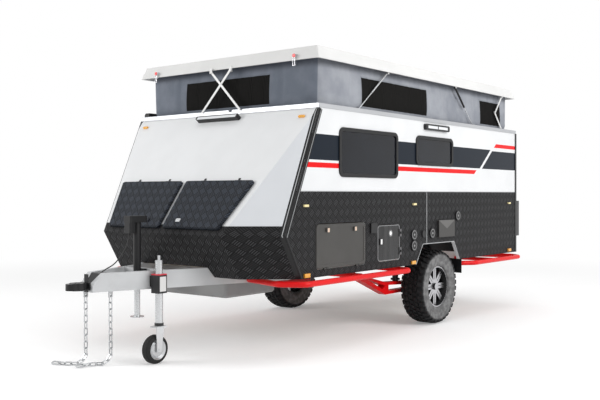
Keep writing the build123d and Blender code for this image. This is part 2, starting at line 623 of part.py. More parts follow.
# Red protection bars along the sides
BAR_R = 26.0
BAR_Y = BODY_HALF_W + 60
BAR_FRONT_Z = 633.0
BAR_REAR_Z = 618.0
BAR_BEND = 110.0
BAR_SEGMENTS = 8
with BuildPart() as side_bars:
    front_foot_x = 1560.0
    front_foot_y = drawbar_y(front_foot_x) - 12
    for z, corners in (
            (BAR_FRONT_Z, ((front_foot_x, front_foot_y), (1720.0, BAR_Y - 200), (1600.0, BAR_Y),
                           (-110.0, BAR_Y), (-190.0, RAIL_OUT_Y - 10))),
            (BAR_REAR_Z, ((-1345.0, RAIL_OUT_Y - 10), (-1345.0, BAR_Y - 120), (-1500.0, BAR_Y),
                          (-2690.0, BAR_Y), (-2790.0, BAR_Y - 110), (-2690.0, RAIL_OUT_Y - 10)))):
        with BuildLine() as route:
            FilletPolyline(*[(x, y, z) for x, y in corners], radius=BAR_BEND)
        first = Vector(*corners[0], z)
        with BuildSketch(Plane(origin=first, z_dir=Vector(*corners[1], z) - first)) as section:
            Circle(BAR_R)
        sweep(section.sketch, path=route.line)
    for strut_x, z in ((700.0, BAR_FRONT_Z), (-2050.0, BAR_REAR_Z)):
        rod((strut_x, RAIL_OUT_Y - 10, z), (strut_x, BAR_Y, z), BAR_R * 0.8)
    block((RAIL_REAR_X - 200, RAIL_OUT_Y - 200, RAIL_LOW_Z - 60),
          (DRAWBAR_JOIN_X, RAIL_OUT_Y, RAIL_TOP_Z), Mode.SUBTRACT)
    prism_z([(x, drawbar_y(x) - inset) for x, inset in (
        (DRAWBAR_JOIN_X, 0), (DRAWBAR_TIP_X, 0), (DRAWBAR_TIP_X, 200), (DRAWBAR_JOIN_X, 200))],
        RAIL_LOW_Z - 60, RAIL_TOP_Z, Mode.SUBTRACT)
    mirror(about=Plane.XZ)
keep(side_bars, "side_bars")

# Grey tank under the front of the chassis
TANK_LOW_Z = 470.0
with BuildPart() as under_tank:
    block((1060, -430, TANK_LOW_Z), (1740, 430, RAIL_LOW_Z - 6))
    fillet(under_tank.edges().filter_by(Axis.Z), 40)
    chamfer(under_tank.faces().sort_by(Axis.Z)[0].edges(), 20)
    for strap_x, reach in ((1100, 640), (1400, 570), (1680, 480)):
        block((strap_x, -reach, RAIL_LOW_Z - 6), (strap_x + 50, reach, RAIL_LOW_Z))
keep(under_tank, "under_tank")

# Rear bumper with the spare wheel's carrier
BUMPER_Z = (600.0, 700.0)
BUMPER_T = 60.0
BUMPER_HALF_W = 690.0
SPARE_Z = 1160.0
SPARE_X = -2969.0
with BuildPart() as rear_bumper:
    block((BODY_REAR_X - BUMPER_T, -BUMPER_HALF_W, BUMPER_Z[0]),
          (BODY_REAR_X, BUMPER_HALF_W, BUMPER_Z[1]))
    for side in (1, -1):
        low, high = sorted((side * (RAIL_OUT_Y - RAIL_W), side * RAIL_OUT_Y))
        block((BODY_REAR_X, low, RAIL_LOW_Z), (RAIL_REAR_X, high, BODY_LOW_Z - FIT))
    block((BODY_REAR_X - 50, -45, BUMPER_Z[1]), (BODY_REAR_X - 4, 45, SPARE_Z + 120))
    rod((BODY_REAR_X - 50, 0, SPARE_Z), (SPARE_X + 24, 0, SPARE_Z), 40)
keep(rear_bumper, "rear_bumper")

with BuildPart() as spare_tyre:
    tyre_ring((SPARE_X, 0, SPARE_Z), (-1, 0, 0))
keep(spare_tyre, "spare_tyre")
with BuildPart() as spare_rim:
    rim_wheel((SPARE_X, 0, SPARE_Z), (-1, 0, 0), 0)
keep(spare_rim, "spare_rim")

# Jerry can holders on the rear wall
CAN_YS = (BODY_HALF_W - 440, BODY_HALF_W - 50)
CAN_ZS = (868.0, 1308.0)
CAN_DEEP = 205.0
CAN_WALL = 3.0
with BuildPart() as can_holders:
    block((BODY_REAR_X - CAN_DEEP, CAN_YS[0], CAN_ZS[0]), (BODY_REAR_X, CAN_YS[1], CAN_ZS[1]))
    block((BODY_REAR_X - CAN_DEEP + CAN_WALL, CAN_YS[0] + CAN_WALL, CAN_ZS[0] + CAN_WALL),
          (BODY_REAR_X - CAN_WALL, CAN_YS[1] - CAN_WALL, CAN_ZS[1] + 5), Mode.SUBTRACT)
    mirror(about=Plane.XZ)
keep(can_holders, "can_holders")

# Lamps: red ones at the rear, amber on the sides, at the low front corners and the upper front
TAIL_YS = (BODY_HALF_W - 380, BODY_HALF_W - 70)
TAIL_ZS = (735.0, 835.0)
MARK_T = 16.0
with BuildPart() as lamps:
    block((BODY_REAR_X - 34, TAIL_YS[0], TAIL_ZS[0]), (BODY_REAR_X, TAIL_YS[1], TAIL_ZS[1]))
    fillet(lamps.edges().filter_by(Axis.X), 14)
    for x, z, wide, tall in ((1521, 700, 74, 34), (-236, 700, 74, 34), (-2523, 709, 74, 34),
                             (1535, 1292, 62, 20), (-256, 1289, 62, 20), (-2518, 1282, 62, 20)):
        y = BODY_HALF_W + PLATE_T
        block((x - wide / 2, y, z - tall / 2), (x + wide / 2, y + MARK_T, z + tall / 2))
    with BuildSketch(lid_plane(0)) as upper:
        with Locations((BODY_HALF_W - 140, (2062 - LID_TOP_Z) / cos(radians(SLOPE)))):
            Rectangle(62, 20)
    extrude(upper.sketch, amount=MARK_T)
    mirror(about=Plane.XZ)
keep(lamps, "lamps")

# Filler caps, knobs and inlets on the left side
CAP_T = 14.0
with BuildPart() as filler_caps:
    for x, z, r in ((-246, 980, 54), (-246, 869, 54), (-619, 982, 54), (-1186, 1155, 54),
                    (-441, 981, 36)):
        rod((x, BODY_HALF_W + PLATE_T, z), (x, BODY_HALF_W + PLATE_T + CAP_T, z), r)
    side_panel(1, -1086, -739, 933, 1113, BODY_HALF_W + PLATE_T, BODY_HALF_W + PLATE_T + 22, 8)
    side_panel(1, 446, 552, 1023, 1117, BODY_HALF_W + PLATE_T, BODY_HALF_W + PLATE_T + 18, 8)
keep(filler_caps, "filler_caps")

# Lights: a strip over the side windows on each side, and one across the front
with BuildPart() as scene_lights:
    for side in (1, -1):
        side_panel(side, -954, -453, 2057, 2118, BODY_HALF_W, BODY_HALF_W + 34, 18)
    with BuildSketch(lid_plane(0)) as bar:
        with Locations((0, (2090 - LID_TOP_Z) / cos(radians(SLOPE)))):
            RectangleRounded(540, 40, 12)
    extrude(bar.sketch, amount=52)
keep(scene_lights, "scene_lights")

# Awning cassette on the right side, above the wall
AWNING_XS = (-2400.0, 1220.0)
AWNING_YS = (BODY_HALF_W + 15, BODY_HALF_W + 86)
AWNING_ZS = (2130.0, 2238.0)
with BuildPart() as awning_cassette:
    block((AWNING_XS[0], -AWNING_YS[1], AWNING_ZS[0]), (AWNING_XS[1], -AWNING_YS[0], AWNING_ZS[1]))
    fillet(awning_cassette.edges().filter_by(Axis.X).group_by(Axis.Y)[0], 26)
    for x in (AWNING_XS[0] + 80, (AWNING_XS[0] + AWNING_XS[1]) / 2, AWNING_XS[1] - 80):
        block((x - 40, -AWNING_YS[0], AWNING_ZS[0]), (x + 40, -BODY_HALF_W, BODY_TOP_Z))
keep(awning_cassette, "awning_cassette")

# Linkages of the lift: pins as (x, z) on the sides, (y, z) at the ends
STRUTS = (
    # name, top pin x, z, bottom pin x, z, cylinder length, cylinder r, rod r
    ("front", 196.0, 2568.0, 701.0, 2171.0, 350.0, 8.0, 5.0),
    ("rear", -1190.0, 2571.0, -1613.0, 2178.0, 300.0, 11.0, 5.0),
)
BRACE = ((-2368.0, 2567.0), (-2200.0, 2375.0), (-2395.0, 2174.0))
SCISSOR_TOP = (118.0, 2552.0)
SCISSOR_LOW = (246.0, 2178.0)
SCISSOR_PLATE = 32.0       # width of the roof plates that hold the scissor pins
SCISSOR_PLATE_LOW = 12.0   # how far they reach below the pin
SCISSOR_W = 22.0
SCISSOR_T = 4.0
EYE_END_R = 9.0
SKIRT_IN_Y = ROOF_HALF_W - ROOF_SKIRT_T
PIN_FIT = 0.05
ROOF_PIN_R = 4.0
PIN_IN_Y = SKIRT_IN_Y - 25
FOOT_T = 7.0
FOOT_HALF = 10.0           # half width of the feet on the rim and of the pads in the roof
PAD_LOW = 12.0             # how far the roof's pads reach below their pins

# Rim channel on top of the body, with the feet of the struts and braces
with BuildPart() as roof_rim:
    rim_base_z = BODY_TOP_Z + RIM_BASE_T
    block((RIM_REAR_X, -RIM_OUT_Y, BODY_TOP_Z), (RIM_FRONT_X, RIM_OUT_Y, RIM_LIP_Z))
    block((RIM_REAR_X + RIM_LIP_T, -RIM_OUT_Y + RIM_LIP_T, rim_base_z),
          (RIM_FRONT_X - RIM_LIP_T, RIM_OUT_Y - RIM_LIP_T, RIM_LIP_Z + 5), Mode.SUBTRACT)
    block((RIM_REAR_X + RIM_BASE_W, -RIM_OUT_Y + RIM_BASE_W, BODY_TOP_Z - 5),
          (RIM_FRONT_X - RIM_BASE_W, RIM_OUT_Y - RIM_BASE_W, rim_base_z + 5), Mode.SUBTRACT)
    block((RIM_FRONT_X, -430, RIM_LIP_Z - 24), (RIM_FRONT_X + 4, 500, RIM_LIP_Z - 2))
    block((RIM_REAR_X - 4, -430, RIM_LIP_Z - 24), (RIM_REAR_X, 500, RIM_LIP_Z - 2))
    y, z = SCISSOR_TOP
    notch_y = SCISSOR_PLATE / 2 + DOOR_GAP
    for low, high in ((RIM_REAR_X - 5, RIM_REAR_X + RIM_LIP_T + 1),
                      (RIM_FRONT_X - RIM_LIP_T - 1, RIM_FRONT_X + 5)):
        block((low, y - notch_y, z - SCISSOR_PLATE_LOW - ROOF_DROP - DOOR_GAP),
              (high, y + notch_y, RIM_LIP_Z + 5), Mode.SUBTRACT)
    for side in (1, -1):
        lip_y = RIM_OUT_Y - RIM_LIP_T
        low, high = sorted((side * (lip_y - FOOT_T), side * lip_y))
        for x, z in [(row[3], row[4]) for row in STRUTS] + [BRACE[2]]:
            block((x - FOOT_HALF, low, rim_base_z), (x + FOOT_HALF, high, z + 12))
        x, z = BRACE[2]
        rod((x, side * (lip_y - FOOT_T), z), (x, side * PIN_IN_Y, z), ROOF_PIN_R)
keep(roof_rim, "roof_rim")

# Roof shell: skirt band, bevel and hollow underside
ROOF_MID_X = (ROOF_FRONT_X + ROOF_REAR_X) / 2
ROOF_LEN = ROOF_FRONT_X - ROOF_REAR_X
ROOF_TOP_Z = ROOF_LOW_Z + ROOF_BAND_H + ROOF_BEVEL_H
CEILING_Z = ROOF_TOP_Z - ROOF_SKIN
ROOF_R = 30.0


def roof_slab(low, length, width, radius, height, draft, mode=Mode.ADD):
    """Rounded rectangle raised with a drafted edge."""
    with BuildSketch(Plane.XY.offset(low)) as outline:
        with Locations((ROOF_MID_X, 0)):
            RectangleRounded(length, width, radius)
    extrude(outline.sketch, amount=height, taper=degrees(atan2(draft, height)), mode=mode)


with BuildPart() as roof_shell:
    width = 2 * ROOF_HALF_W
    roof_slab(ROOF_LOW_Z, ROOF_LEN, width, ROOF_R, ROOF_BAND_H, ROOF_BAND_IN)
    inset = 2 * ROOF_BAND_IN
    roof_slab(ROOF_LOW_Z + ROOF_BAND_H, ROOF_LEN - inset, width - inset, ROOF_R - 8,
              ROOF_BEVEL_H, ROOF_BEVEL_IN)
    skirt = 2 * ROOF_SKIRT_T
    roof_slab(ROOF_LOW_Z - 1, ROOF_LEN - skirt, width - skirt, ROOF_R - 8, CEILING_Z - ROOF_LOW_Z
              + 1, ROOF_BAND_IN * (CEILING_Z - ROOF_LOW_Z) / ROOF_BAND_H, Mode.SUBTRACT)
    for side in (1, -1):
        for x, z in [(row[1], row[2]) for row in STRUTS] + [BRACE[0]]:
            low, high = sorted((side * (SKIRT_IN_Y - 5), side * (SKIRT_IN_Y + 1)))
            block((x - FOOT_HALF, low, z - PAD_LOW), (x + FOOT_HALF, high, ROOF_LOW_Z + 12))
            rod((x, side * SKIRT_IN_Y, z), (x, side * PIN_IN_Y, z), ROOF_PIN_R)
    for facing, face in ((1, ROOF_FRONT_X), (-1, ROOF_REAR_X)):
        y, z = SCISSOR_TOP
        near, far = sorted((face - facing * 8, face + facing * 4.5))
        half = SCISSOR_PLATE / 2
        block((near, y - half, z - SCISSOR_PLATE_LOW), (far, y + half, ROOF_LOW_Z + 20))
        rod((face, y, z), (face + facing * 11, y, z), ROOF_PIN_R)
        near, far = sorted((face - facing * 8, face + facing * 24))
        block((near, -y - half, ROOF_LOW_Z + 4), (far, half - y, ROOF_LOW_Z + 16))
        near, far = sorted((face + facing * 19, face + facing * 24))
        block((near, -y - half, z - SCISSOR_PLATE_LOW), (far, half - y, ROOF_LOW_Z + 16))
        rod((face + facing * 24, -y, z), (face + facing * 12.5, -y, z), ROOF_PIN_R)
keep(roof_shell, "roof_shell")

# Low unit on the roof
VENT_XS = (-1300.0, -350.0)
VENT_HALF_W = 330.0
VENT_H = 185.0
with BuildPart() as roof_vent:
    block((VENT_XS[0], -VENT_HALF_W, ROOF_TOP_Z), (VENT_XS[1], VENT_HALF_W, ROOF_TOP_Z + VENT_H))
    fillet(roof_vent.edges().filter_by(Axis.Z), 90)
    chamfer(roof_vent.faces().sort_by(Axis.Z)[-1].edges(), 60)
keep(roof_vent, "roof_vent")

# Over-centre latches at the front and rear edges of the roof
LATCH_Y = ROOF_HALF_W - 258
LATCH_XS = ((1, ROOF_FRONT_X), (-1, ROOF_REAR_X))
LATCH_WIRE_R = 3.5
LATCH_W = 26.0
LATCH_MID_Z = ROOF_LOW_Z + 38
LATCH_OUT = 16.0
BAIL_Z = BODY_TOP_Z + ROOF_DROP + DOOR_GAP + LATCH_WIRE_R
with BuildPart() as roof_latches:
    for facing, face in LATCH_XS:
        near, far = sorted((face - facing * ROOF_BAND_IN, face + facing * LATCH_OUT))
        bail_x = face + facing * (LATCH_OUT + 2)
        half = LATCH_W / 2
        for side in (1, -1):
            y = side * LATCH_Y
            block((near, y - half, LATCH_MID_Z - 14), (far, y + half, LATCH_MID_Z + 14))
            rod((face + facing * LATCH_OUT, y, LATCH_MID_Z),
                (face + facing * (LATCH_OUT + 6), y, LATCH_MID_Z), half + 3)
            for edge in (1, -1):
                rod((bail_x, y + edge * (half - 1), BAIL_Z), (bail_x, y + edge * half / 2,
                                                              LATCH_MID_Z), LATCH_WIRE_R)
            rod((bail_x, y - half - 1, BAIL_Z), (bail_x, y + half + 1, BAIL_Z), LATCH_WIRE_R)
    add(roof_shell.part, mode=Mode.SUBTRACT)
keep(roof_latches, "roof_latches")

# Canvas wall between the rim and the ceiling
CANVAS_LEN = CANVAS_FRONT_X - CANVAS_REAR_X
with BuildPart() as canvas:
    with BuildSketch(Plane.XY.offset(BODY_TOP_Z + RIM_BASE_T)) as wall_line:
        with Locations(((CANVAS_FRONT_X + CANVAS_REAR_X) / 2, 0)):
            RectangleRounded(CANVAS_LEN, 2 * CANVAS_HALF_W, CANVAS_CORNER_R)
            RectangleRounded(CANVAS_LEN - 2 * CANVAS_T, 2 * (CANVAS_HALF_W - CANVAS_T),
                             CANVAS_CORNER_R - CANVAS_T, mode=Mode.SUBTRACT)
    extrude(wall_line.sketch, amount=CEILING_Z - BODY_TOP_Z - RIM_BASE_T)
keep(canvas, "canvas")

# Scissor arms: the left-pinned arms lie in the inner layer, the right-pinned in the outer
for name, side, layer in (("scissor_a", 1, 6.5), ("scissor_b", -1, 13.0)):
    with BuildPart() as arms:
        for facing, face in ((1, ROOF_FRONT_X), (-1, ROOF_REAR_X)):
            near = face + facing * layer
            plane = Plane.YZ.offset(near)
            top = Vector(side * SCISSOR_TOP[0], SCISSOR_TOP[1])
            low = Vector(-side * SCISSOR_LOW[0], SCISSOR_LOW[1])
            mid = (top + low) * 0.5
            run = low - top
            with BuildSketch(plane) as bar:
                with Locations(Location((mid.X, mid.Y), degrees(atan2(run.Y, run.X)))):
                    SlotCenterToCenter(run.length, SCISSOR_W)
                with Locations((top.X, top.Y)):
                    Circle(ROOF_PIN_R + PIN_FIT, mode=Mode.SUBTRACT)
            extrude(bar.sketch, amount=facing * SCISSOR_T)
            rod((near, low.X, low.Y), (face + facing * 4.2, low.X, low.Y), ROOF_PIN_R)
    keep(arms, name)

# Gas struts, left and right together
for name, top_x, top_z, low_x, low_z, tube, tube_r, rod_r in STRUTS:
    top = Vector(top_x, 0, top_z)
    low = Vector(low_x, 0, low_z)
    line = (low - top).normalized()
    mid_y = (PIN_IN_Y + SKIRT_IN_Y - 8) / 2
    with BuildPart() as cylinder:
        shift = Vector(0, mid_y, 0)
        rod(tuple(top + shift + line * 6), tuple(top + shift + line * tube), tube_r)
        rod((top_x, mid_y - 7, top_z), (top_x, mid_y + 7, top_z), EYE_END_R)
        rod(tuple(top + shift + line * 60), tuple(top + shift + line * (tube + 1)), rod_r
            + RUNNING_FIT, Mode.SUBTRACT)
        rod((top_x, mid_y - 20, top_z), (top_x, mid_y + 20, top_z), ROOF_PIN_R + PIN_FIT,
            Mode.SUBTRACT)
        mirror(about=Plane.XZ)
    keep(cylinder, f"strut_{name}_tube")
    with BuildPart() as piston:
        rod(tuple(top + shift + line * (tube - 60)), tuple(low + shift), rod_r)
        rod((low_x, mid_y - 6, low_z), (low_x, mid_y + 6, low_z), EYE_END_R)
        mirror(about=Plane.XZ)
    keep(piston, f"strut_{name}_rod")

# Folding braces: the upper link hangs from the roof, the lower stands on the rim
BRACE_W = 22.0
BRACE_T = 5.0
for name, pin, inner_y in (("brace_upper", BRACE[0], SKIRT_IN_Y - 13),
                           ("brace_lower", BRACE[2], RIM_OUT_Y - 44)):
    start = Vector(*pin)
    knee = Vector(*BRACE[1])
    with BuildPart() as link:
        with BuildSketch(Plane.XZ.offset(-inner_y)) as bar:
            run = knee - start
            mid = (knee + start) * 0.5
            with Locations(Location((mid.X, mid.Y), degrees(atan2(run.Y, run.X)))):
                SlotCenterToCenter(run.length, BRACE_W)
            with Locations((start.X, start.Y)):
                Circle(ROOF_PIN_R + PIN_FIT, mode=Mode.SUBTRACT)
        extrude(bar.sketch, amount=-BRACE_T)
        mirror(about=Plane.XZ)
    keep(link, name)


# Hinges: a fixed knuckle with its pin between two moving ones
KNUCKLE_R = 6.5
KNUCKLE_LEN = 24.0
HINGE_PIN_R = 3.0
LEAF_T = 3.0
LEAF_W = 30.0
HINGE_Y = BODY_HALF_W + PLATE_T + 9.0
HINGE_SHIFT = 3.0          # from the door's edge to the hinge axis
LID_HINGE_UP = 8.0
LID_KNUCKLE_R = 5.0
LID_LOW_RAISE = LID_RAISE - LID_T
DOOR_HINGES = (
    # panel, edge the hinges stand on, places along that edge
    (LOCKER, "low", (760.0, 1250.0)),
    (SERVICE, "rear", (830.0, 1010.0)),
    (KITCHEN, "high", (430.0, 1180.0)),
    (DOOR, "front", (950.0, 1450.0, 1950.0)),
)
LID_HINGE_YS = (230.0, 640.0)


def hinge_frame(panel, edge, place):
    """Hinge plane: origin on the axis, x along it, y toward the door, z outward."""
    side, x0, x1, z0, z1 = panel
    x, z, toward = {
        "low": (place, z0 - HINGE_SHIFT, (0, 0, 1)),
        "high": (place, z1 + HINGE_SHIFT, (0, 0, -1)),
        "rear": (x0 - HINGE_SHIFT, place, (1, 0, 0)),
        "front": (x1 + HINGE_SHIFT, place, (-1, 0, 0)),
    }[edge]
    outward = Vector(0, side, 0)
    return Plane(origin=(x, side * HINGE_Y, z), x_dir=Vector(*toward).cross(outward),
                 z_dir=outward)


def knuckles(plane, radius, moving, leaf_low, leaf_high, leaf_w):
    """Moving half or fixed half of one hinge, in its hinge plane."""
    toward = 1 if moving else -1
    pitch = KNUCKLE_LEN + FIT
    spots = (-pitch, pitch) if moving else (0.0,)
    for spot in spots:
        ends = [plane.from_local_coords((spot + end * KNUCKLE_LEN / 2, 0, 0)) for end in (-1, 1)]
        rod(tuple(ends[0]), tuple(ends[1]), radius)
        with BuildSketch(plane.offset(leaf_low)) as leaf:
            with Locations((spot, toward * leaf_w / 2)):
                Rectangle(KNUCKLE_LEN, leaf_w)
        extrude(leaf.sketch, amount=leaf_high - leaf_low)
    reach = pitch + KNUCKLE_LEN / 2
    ends = [plane.from_local_coords((end * reach, 0, 0)) for end in (-1, 1)]
    if moving:
        rod(tuple(ends[0]), tuple(ends[1]), HINGE_PIN_R + RUNNING_FIT, Mode.SUBTRACT)
    else:
        rod(tuple(ends[0]), tuple(ends[1]), HINGE_PIN_R)


def lid_hinge_plane(y):
    """Hinge plane of a nose lid: y points down the slope, toward the lid."""
    slope = lid_plane(LID_LOW_RAISE)
    origin = slope.from_local_coords((y, LID_HINGE_UP, 0))
    return Plane(origin=origin, x_dir=(0, -1, 0), z_dir=slope.z_dir)


with BuildPart() as hinge_leaves:
    leaf_low = BODY_HALF_W + PLATE_T - HINGE_Y
    for panel, edge, places in DOOR_HINGES:
        for place in places:
            knuckles(hinge_frame(panel, edge, place), KNUCKLE_R, False, leaf_low,
                     leaf_low + LEAF_T, LEAF_W)
    for side in (1, -1):
        for y in LID_HINGE_YS:
            knuckles(lid_hinge_plane(side * y), LID_KNUCKLE_R, False, -LID_LOW_RAISE,
                     LEAF_T - LID_LOW_RAISE, LEAF_W)
keep(hinge_leaves, "hinge_leaves")

# Doors in the side walls
BORDER_W = 26.0
BORDER_T = 3.0
BORDER_IN = 6.0            # from the door's edge
PULL_T = 12.0
PULL_R = 8.0
DOOR_PANE_IN = 130.0
DOOR_PANE_ZS = (1500.0, 1900.0)
DOOR_PANE_R = 50.0
DOOR_PANE_LAP = 5.0
HANDLE_ZS = (1180.0, 1300.0)
for panel, edge, places in DOOR_HINGES:
    side, x0, x1, z0, z1 = panel
    name = {LOCKER: "locker_door", SERVICE: "service_door", KITCHEN: "kitchen_hatch",
            DOOR: "entry_door"}[panel]
    face = BODY_HALF_W + PLATE_T
    with BuildPart() as door:
        side_panel(side, x0, x1, z0, z1, IN_Y, face, HATCH_R)
        if panel is not SERVICE:
            edge_in = BORDER_IN
            side_panel(side, x0 + edge_in, x1 - edge_in, z0 + edge_in, z1 - edge_in, face,
                       face + BORDER_T, HATCH_R - edge_in)
            inner = BORDER_IN + BORDER_W
            side_panel(side, x0 + inner, x1 - inner, z0 + inner, z1 - inner, face,
                       face + 2 * BORDER_T, HATCH_R - 20, Mode.SUBTRACT)
        if panel is LOCKER:
            for x in (x0 + 170, x1 - 170):
                side_panel(side, x - 30, x + 30, z1 - 72, z1 - 36, face - 1, face + PULL_T,
                           PULL_R)
        if panel is SERVICE:
            mid_z = (z0 + z1) / 2 + 16
            side_panel(side, x1 - 84, x1 - 24, mid_z - 30, mid_z + 30, face - 1, face + 9, 14)
        if panel is KITCHEN:
            for x in (x0 + 240, x1 - 240):
                side_panel(side, x - 34, x + 34, z0 + 38, z0 + 76, face - 1, face + PULL_T,
                           PULL_R)
        if panel is DOOR:
            for grow, near, far, mode in ((0, IN_Y - 5, face + 5, Mode.SUBTRACT),
                                          (-FIT, IN_Y + 10, face - 8, Mode.ADD),
                                          (DOOR_PANE_LAP, IN_Y + 12, face - 10, Mode.ADD)):
                reach = DOOR_PANE_IN - grow
                side_panel(side, x0 + reach, x1 - reach, DOOR_PANE_ZS[0] - grow,
                           DOOR_PANE_ZS[1] + grow, near, far, DOOR_PANE_R, mode)
            side_panel(side, x0 + 36, x0 + 96, *HANDLE_ZS, face - 1, face + 22, 12)
        for place in places:
            knuckles(hinge_frame(panel, edge, place), KNUCKLE_R, True, face - HINGE_Y,
                     face - HINGE_Y + LEAF_T, LEAF_W)
    keep(door, name)

# Nose lids
LID_CHAMFER = 10.0
for side, name in ((1, "nose_lid_left"), (-1, "nose_lid_right")):
    with BuildPart() as lid:
        with BuildSketch(lid_plane(LID_LOW_RAISE)) as panel:
            with BuildLine():
                Polyline(*lid_outline(side, 0), close=True)
            make_face()
            fillet(panel.vertices(), 24)
        extrude(panel.sketch, amount=LID_T)
        top = lid.faces().sort_by(Axis((0, 0, 0), tuple(lid_plane(0).z_dir)))[-1]
        chamfer(top.edges(), LID_CHAMFER)
        with BuildSketch(lid_plane(LID_RAISE)) as latch:
            with Locations((side * 200, 70 - SLOPE_LEN)):
                RectangleRounded(54, 34, 8)
        extrude(latch.sketch, amount=9)
        for y in LID_HINGE_YS:
            knuckles(lid_hinge_plane(side * y), LID_KNUCKLE_R, True, 0, LEAF_T, LEAF_W)
    keep(lid, name)

# Electric jack on the drawbar
JACK_R = 32.0
JACK_LOW_Z = 585.0
JACK_HEAD_Z = 1150.0
JACK_HEAD_REAR_X = JACK_X - 76
POD_XS = (JACK_X + 45, JACK_X + 110)
POD_LOW_Z = 1060.0
with BuildPart() as jack_body:
    rod((JACK_X, 0, JACK_LOW_Z), (JACK_X, 0, JACK_HEAD_Z), JACK_R)
    rod((JACK_X, 0, JACK_LOW_Z), (JACK_X, 0, JACK_LOW_Z + 20), JACK_R + 8)
    for x0, x1, half, low, high in ((JACK_HEAD_REAR_X, POD_XS[1], 48, JACK_HEAD_Z,
                                     JACK_HEAD_Z + 56), (*POD_XS, 42, POD_LOW_Z, JACK_HEAD_Z)):
        with BuildSketch(Plane.XY.offset(low)) as cover:
            with Locations(((x0 + x1) / 2, 0)):
                RectangleRounded(x1 - x0, 2 * half, 14)
        extrude(cover.sketch, amount=high - low)
    block((JACK_TIE_X + CROSS_W, -60, RAIL_TOP_Z - CROSS_H), (JACK_X - 12, 60, RAIL_TOP_Z))
keep(jack_body, "jack_body")

JACK_FOOT_Z = 345.0
with BuildPart() as jack_leg:
    rod((JACK_X, 0, JACK_FOOT_Z + 7), (JACK_X, 0, JACK_LOW_Z), 25)
    rod((JACK_X, 0, JACK_FOOT_Z), (JACK_X, 0, JACK_FOOT_Z + 7), 60)
keep(jack_leg, "jack_leg")

# Cable from the jack's motor to the front plate of the drawbar
CABLE_R = 5.0
CABLE_PLATE_Z = RAIL_TOP_Z - 6.0
CABLE_TOP_X = JACK_X + 85
CABLE_END_X = DRAWBAR_TIP_X - 145
CABLE_SHARES = (
    # share of the way forward, share of the way down
    (0.0, 0.0),
    (0.034, 0.193),
    (0.181, 0.469),
    (0.416, 0.714),
    (0.611, 0.842),
    (0.832, 0.913),
    (1.0, 1.0),
)
cable_points = [Vector(CABLE_TOP_X + ahead * (CABLE_END_X - CABLE_TOP_X), 0,
                       POD_LOW_Z + sunk * (CABLE_PLATE_Z - POD_LOW_Z))
                for ahead, sunk in CABLE_SHARES]
cable_radii = []
for before, here, after in zip(cable_points, cable_points[1:], cable_points[2:]):
    turn = radians((here - before).get_angle(after - here))
    shorter = min((here - before).length, (after - here).length)
    cable_radii.append(round(0.45 * shorter / tan(turn / 2), 1))
print("cable radii", cable_radii)
with BuildPart() as jack_cable:
    with BuildLine() as route:
        FilletPolyline(*cable_points, radius=cable_radii)
    with BuildSketch(Plane(origin=cable_points[0], z_dir=cable_points[1] - cable_points[0])) as ring:
        Circle(CABLE_R)
    sweep(ring.sketch, path=route.line)
    add(drawbar_plate.part, mode=Mode.SUBTRACT)
    add(jack_body.part, mode=Mode.SUBTRACT)
keep(jack_cable, "jack_cable")

# Jockey wheel: clamp, leg, swivelling fork and wheel
JOCKEY_X = 2419.0
JOCKEY_Y = drawbar_y(JOCKEY_X) + 63
CLAMP_HALF = 48.0
CLAMP_ZS = (575.0, 733.0)
LEG_R = 32.0
LEG_LOW_Z = 330.0
LEG_TOP_Z = 846.0
SWIVEL_R = 12.0
SWIVEL_LEN = 60.0
JOCKEY_R = 118.0
JOCKEY_W = 80.0
TRAIL = 45.0
FORK_GAP = 6.0
FORK_T = 8.0
JOCKEY_PIN_R = 8.0
with BuildPart() as jockey_clamp:
    block((JOCKEY_X - CLAMP_HALF, JOCKEY_Y - CLAMP_HALF, CLAMP_ZS[0]),
          (JOCKEY_X + CLAMP_HALF, JOCKEY_Y + CLAMP_HALF, CLAMP_ZS[1]))
    fillet(jockey_clamp.edges().filter_by(Axis.Z), 8)
    rail_y = drawbar_y(JOCKEY_X)
    block((JOCKEY_X - 36, rail_y - 49, RAIL_LOW_Z + 20), (JOCKEY_X + 36, JOCKEY_Y,
                                                          CLAMP_ZS[1] - 20))
    add(drawbar.part, mode=Mode.SUBTRACT)
    block((JOCKEY_X - 60, rail_y - 149, RAIL_LOW_Z), (JOCKEY_X + 60, rail_y - 20, RAIL_TOP_Z + 5),
          Mode.SUBTRACT)
    rod((JOCKEY_X, JOCKEY_Y, CLAMP_ZS[0] - 5), (JOCKEY_X, JOCKEY_Y, CLAMP_ZS[1] + 5), LEG_R + FIT,
        Mode.SUBTRACT)
keep(jockey_clamp, "jockey_clamp")

with BuildPart() as jockey_leg:
    rod((JOCKEY_X, JOCKEY_Y, LEG_LOW_Z), (JOCKEY_X, JOCKEY_Y, LEG_TOP_Z), LEG_R)
    rod((JOCKEY_X, JOCKEY_Y, LEG_TOP_Z), (JOCKEY_X, JOCKEY_Y, LEG_TOP_Z + 39), 12)
    rod((JOCKEY_X, JOCKEY_Y, LEG_LOW_Z - 5), (JOCKEY_X, JOCKEY_Y, LEG_LOW_Z + SWIVEL_LEN),
        SWIVEL_R + RUNNING_FIT, Mode.SUBTRACT)
keep(jockey_leg, "jockey_leg")

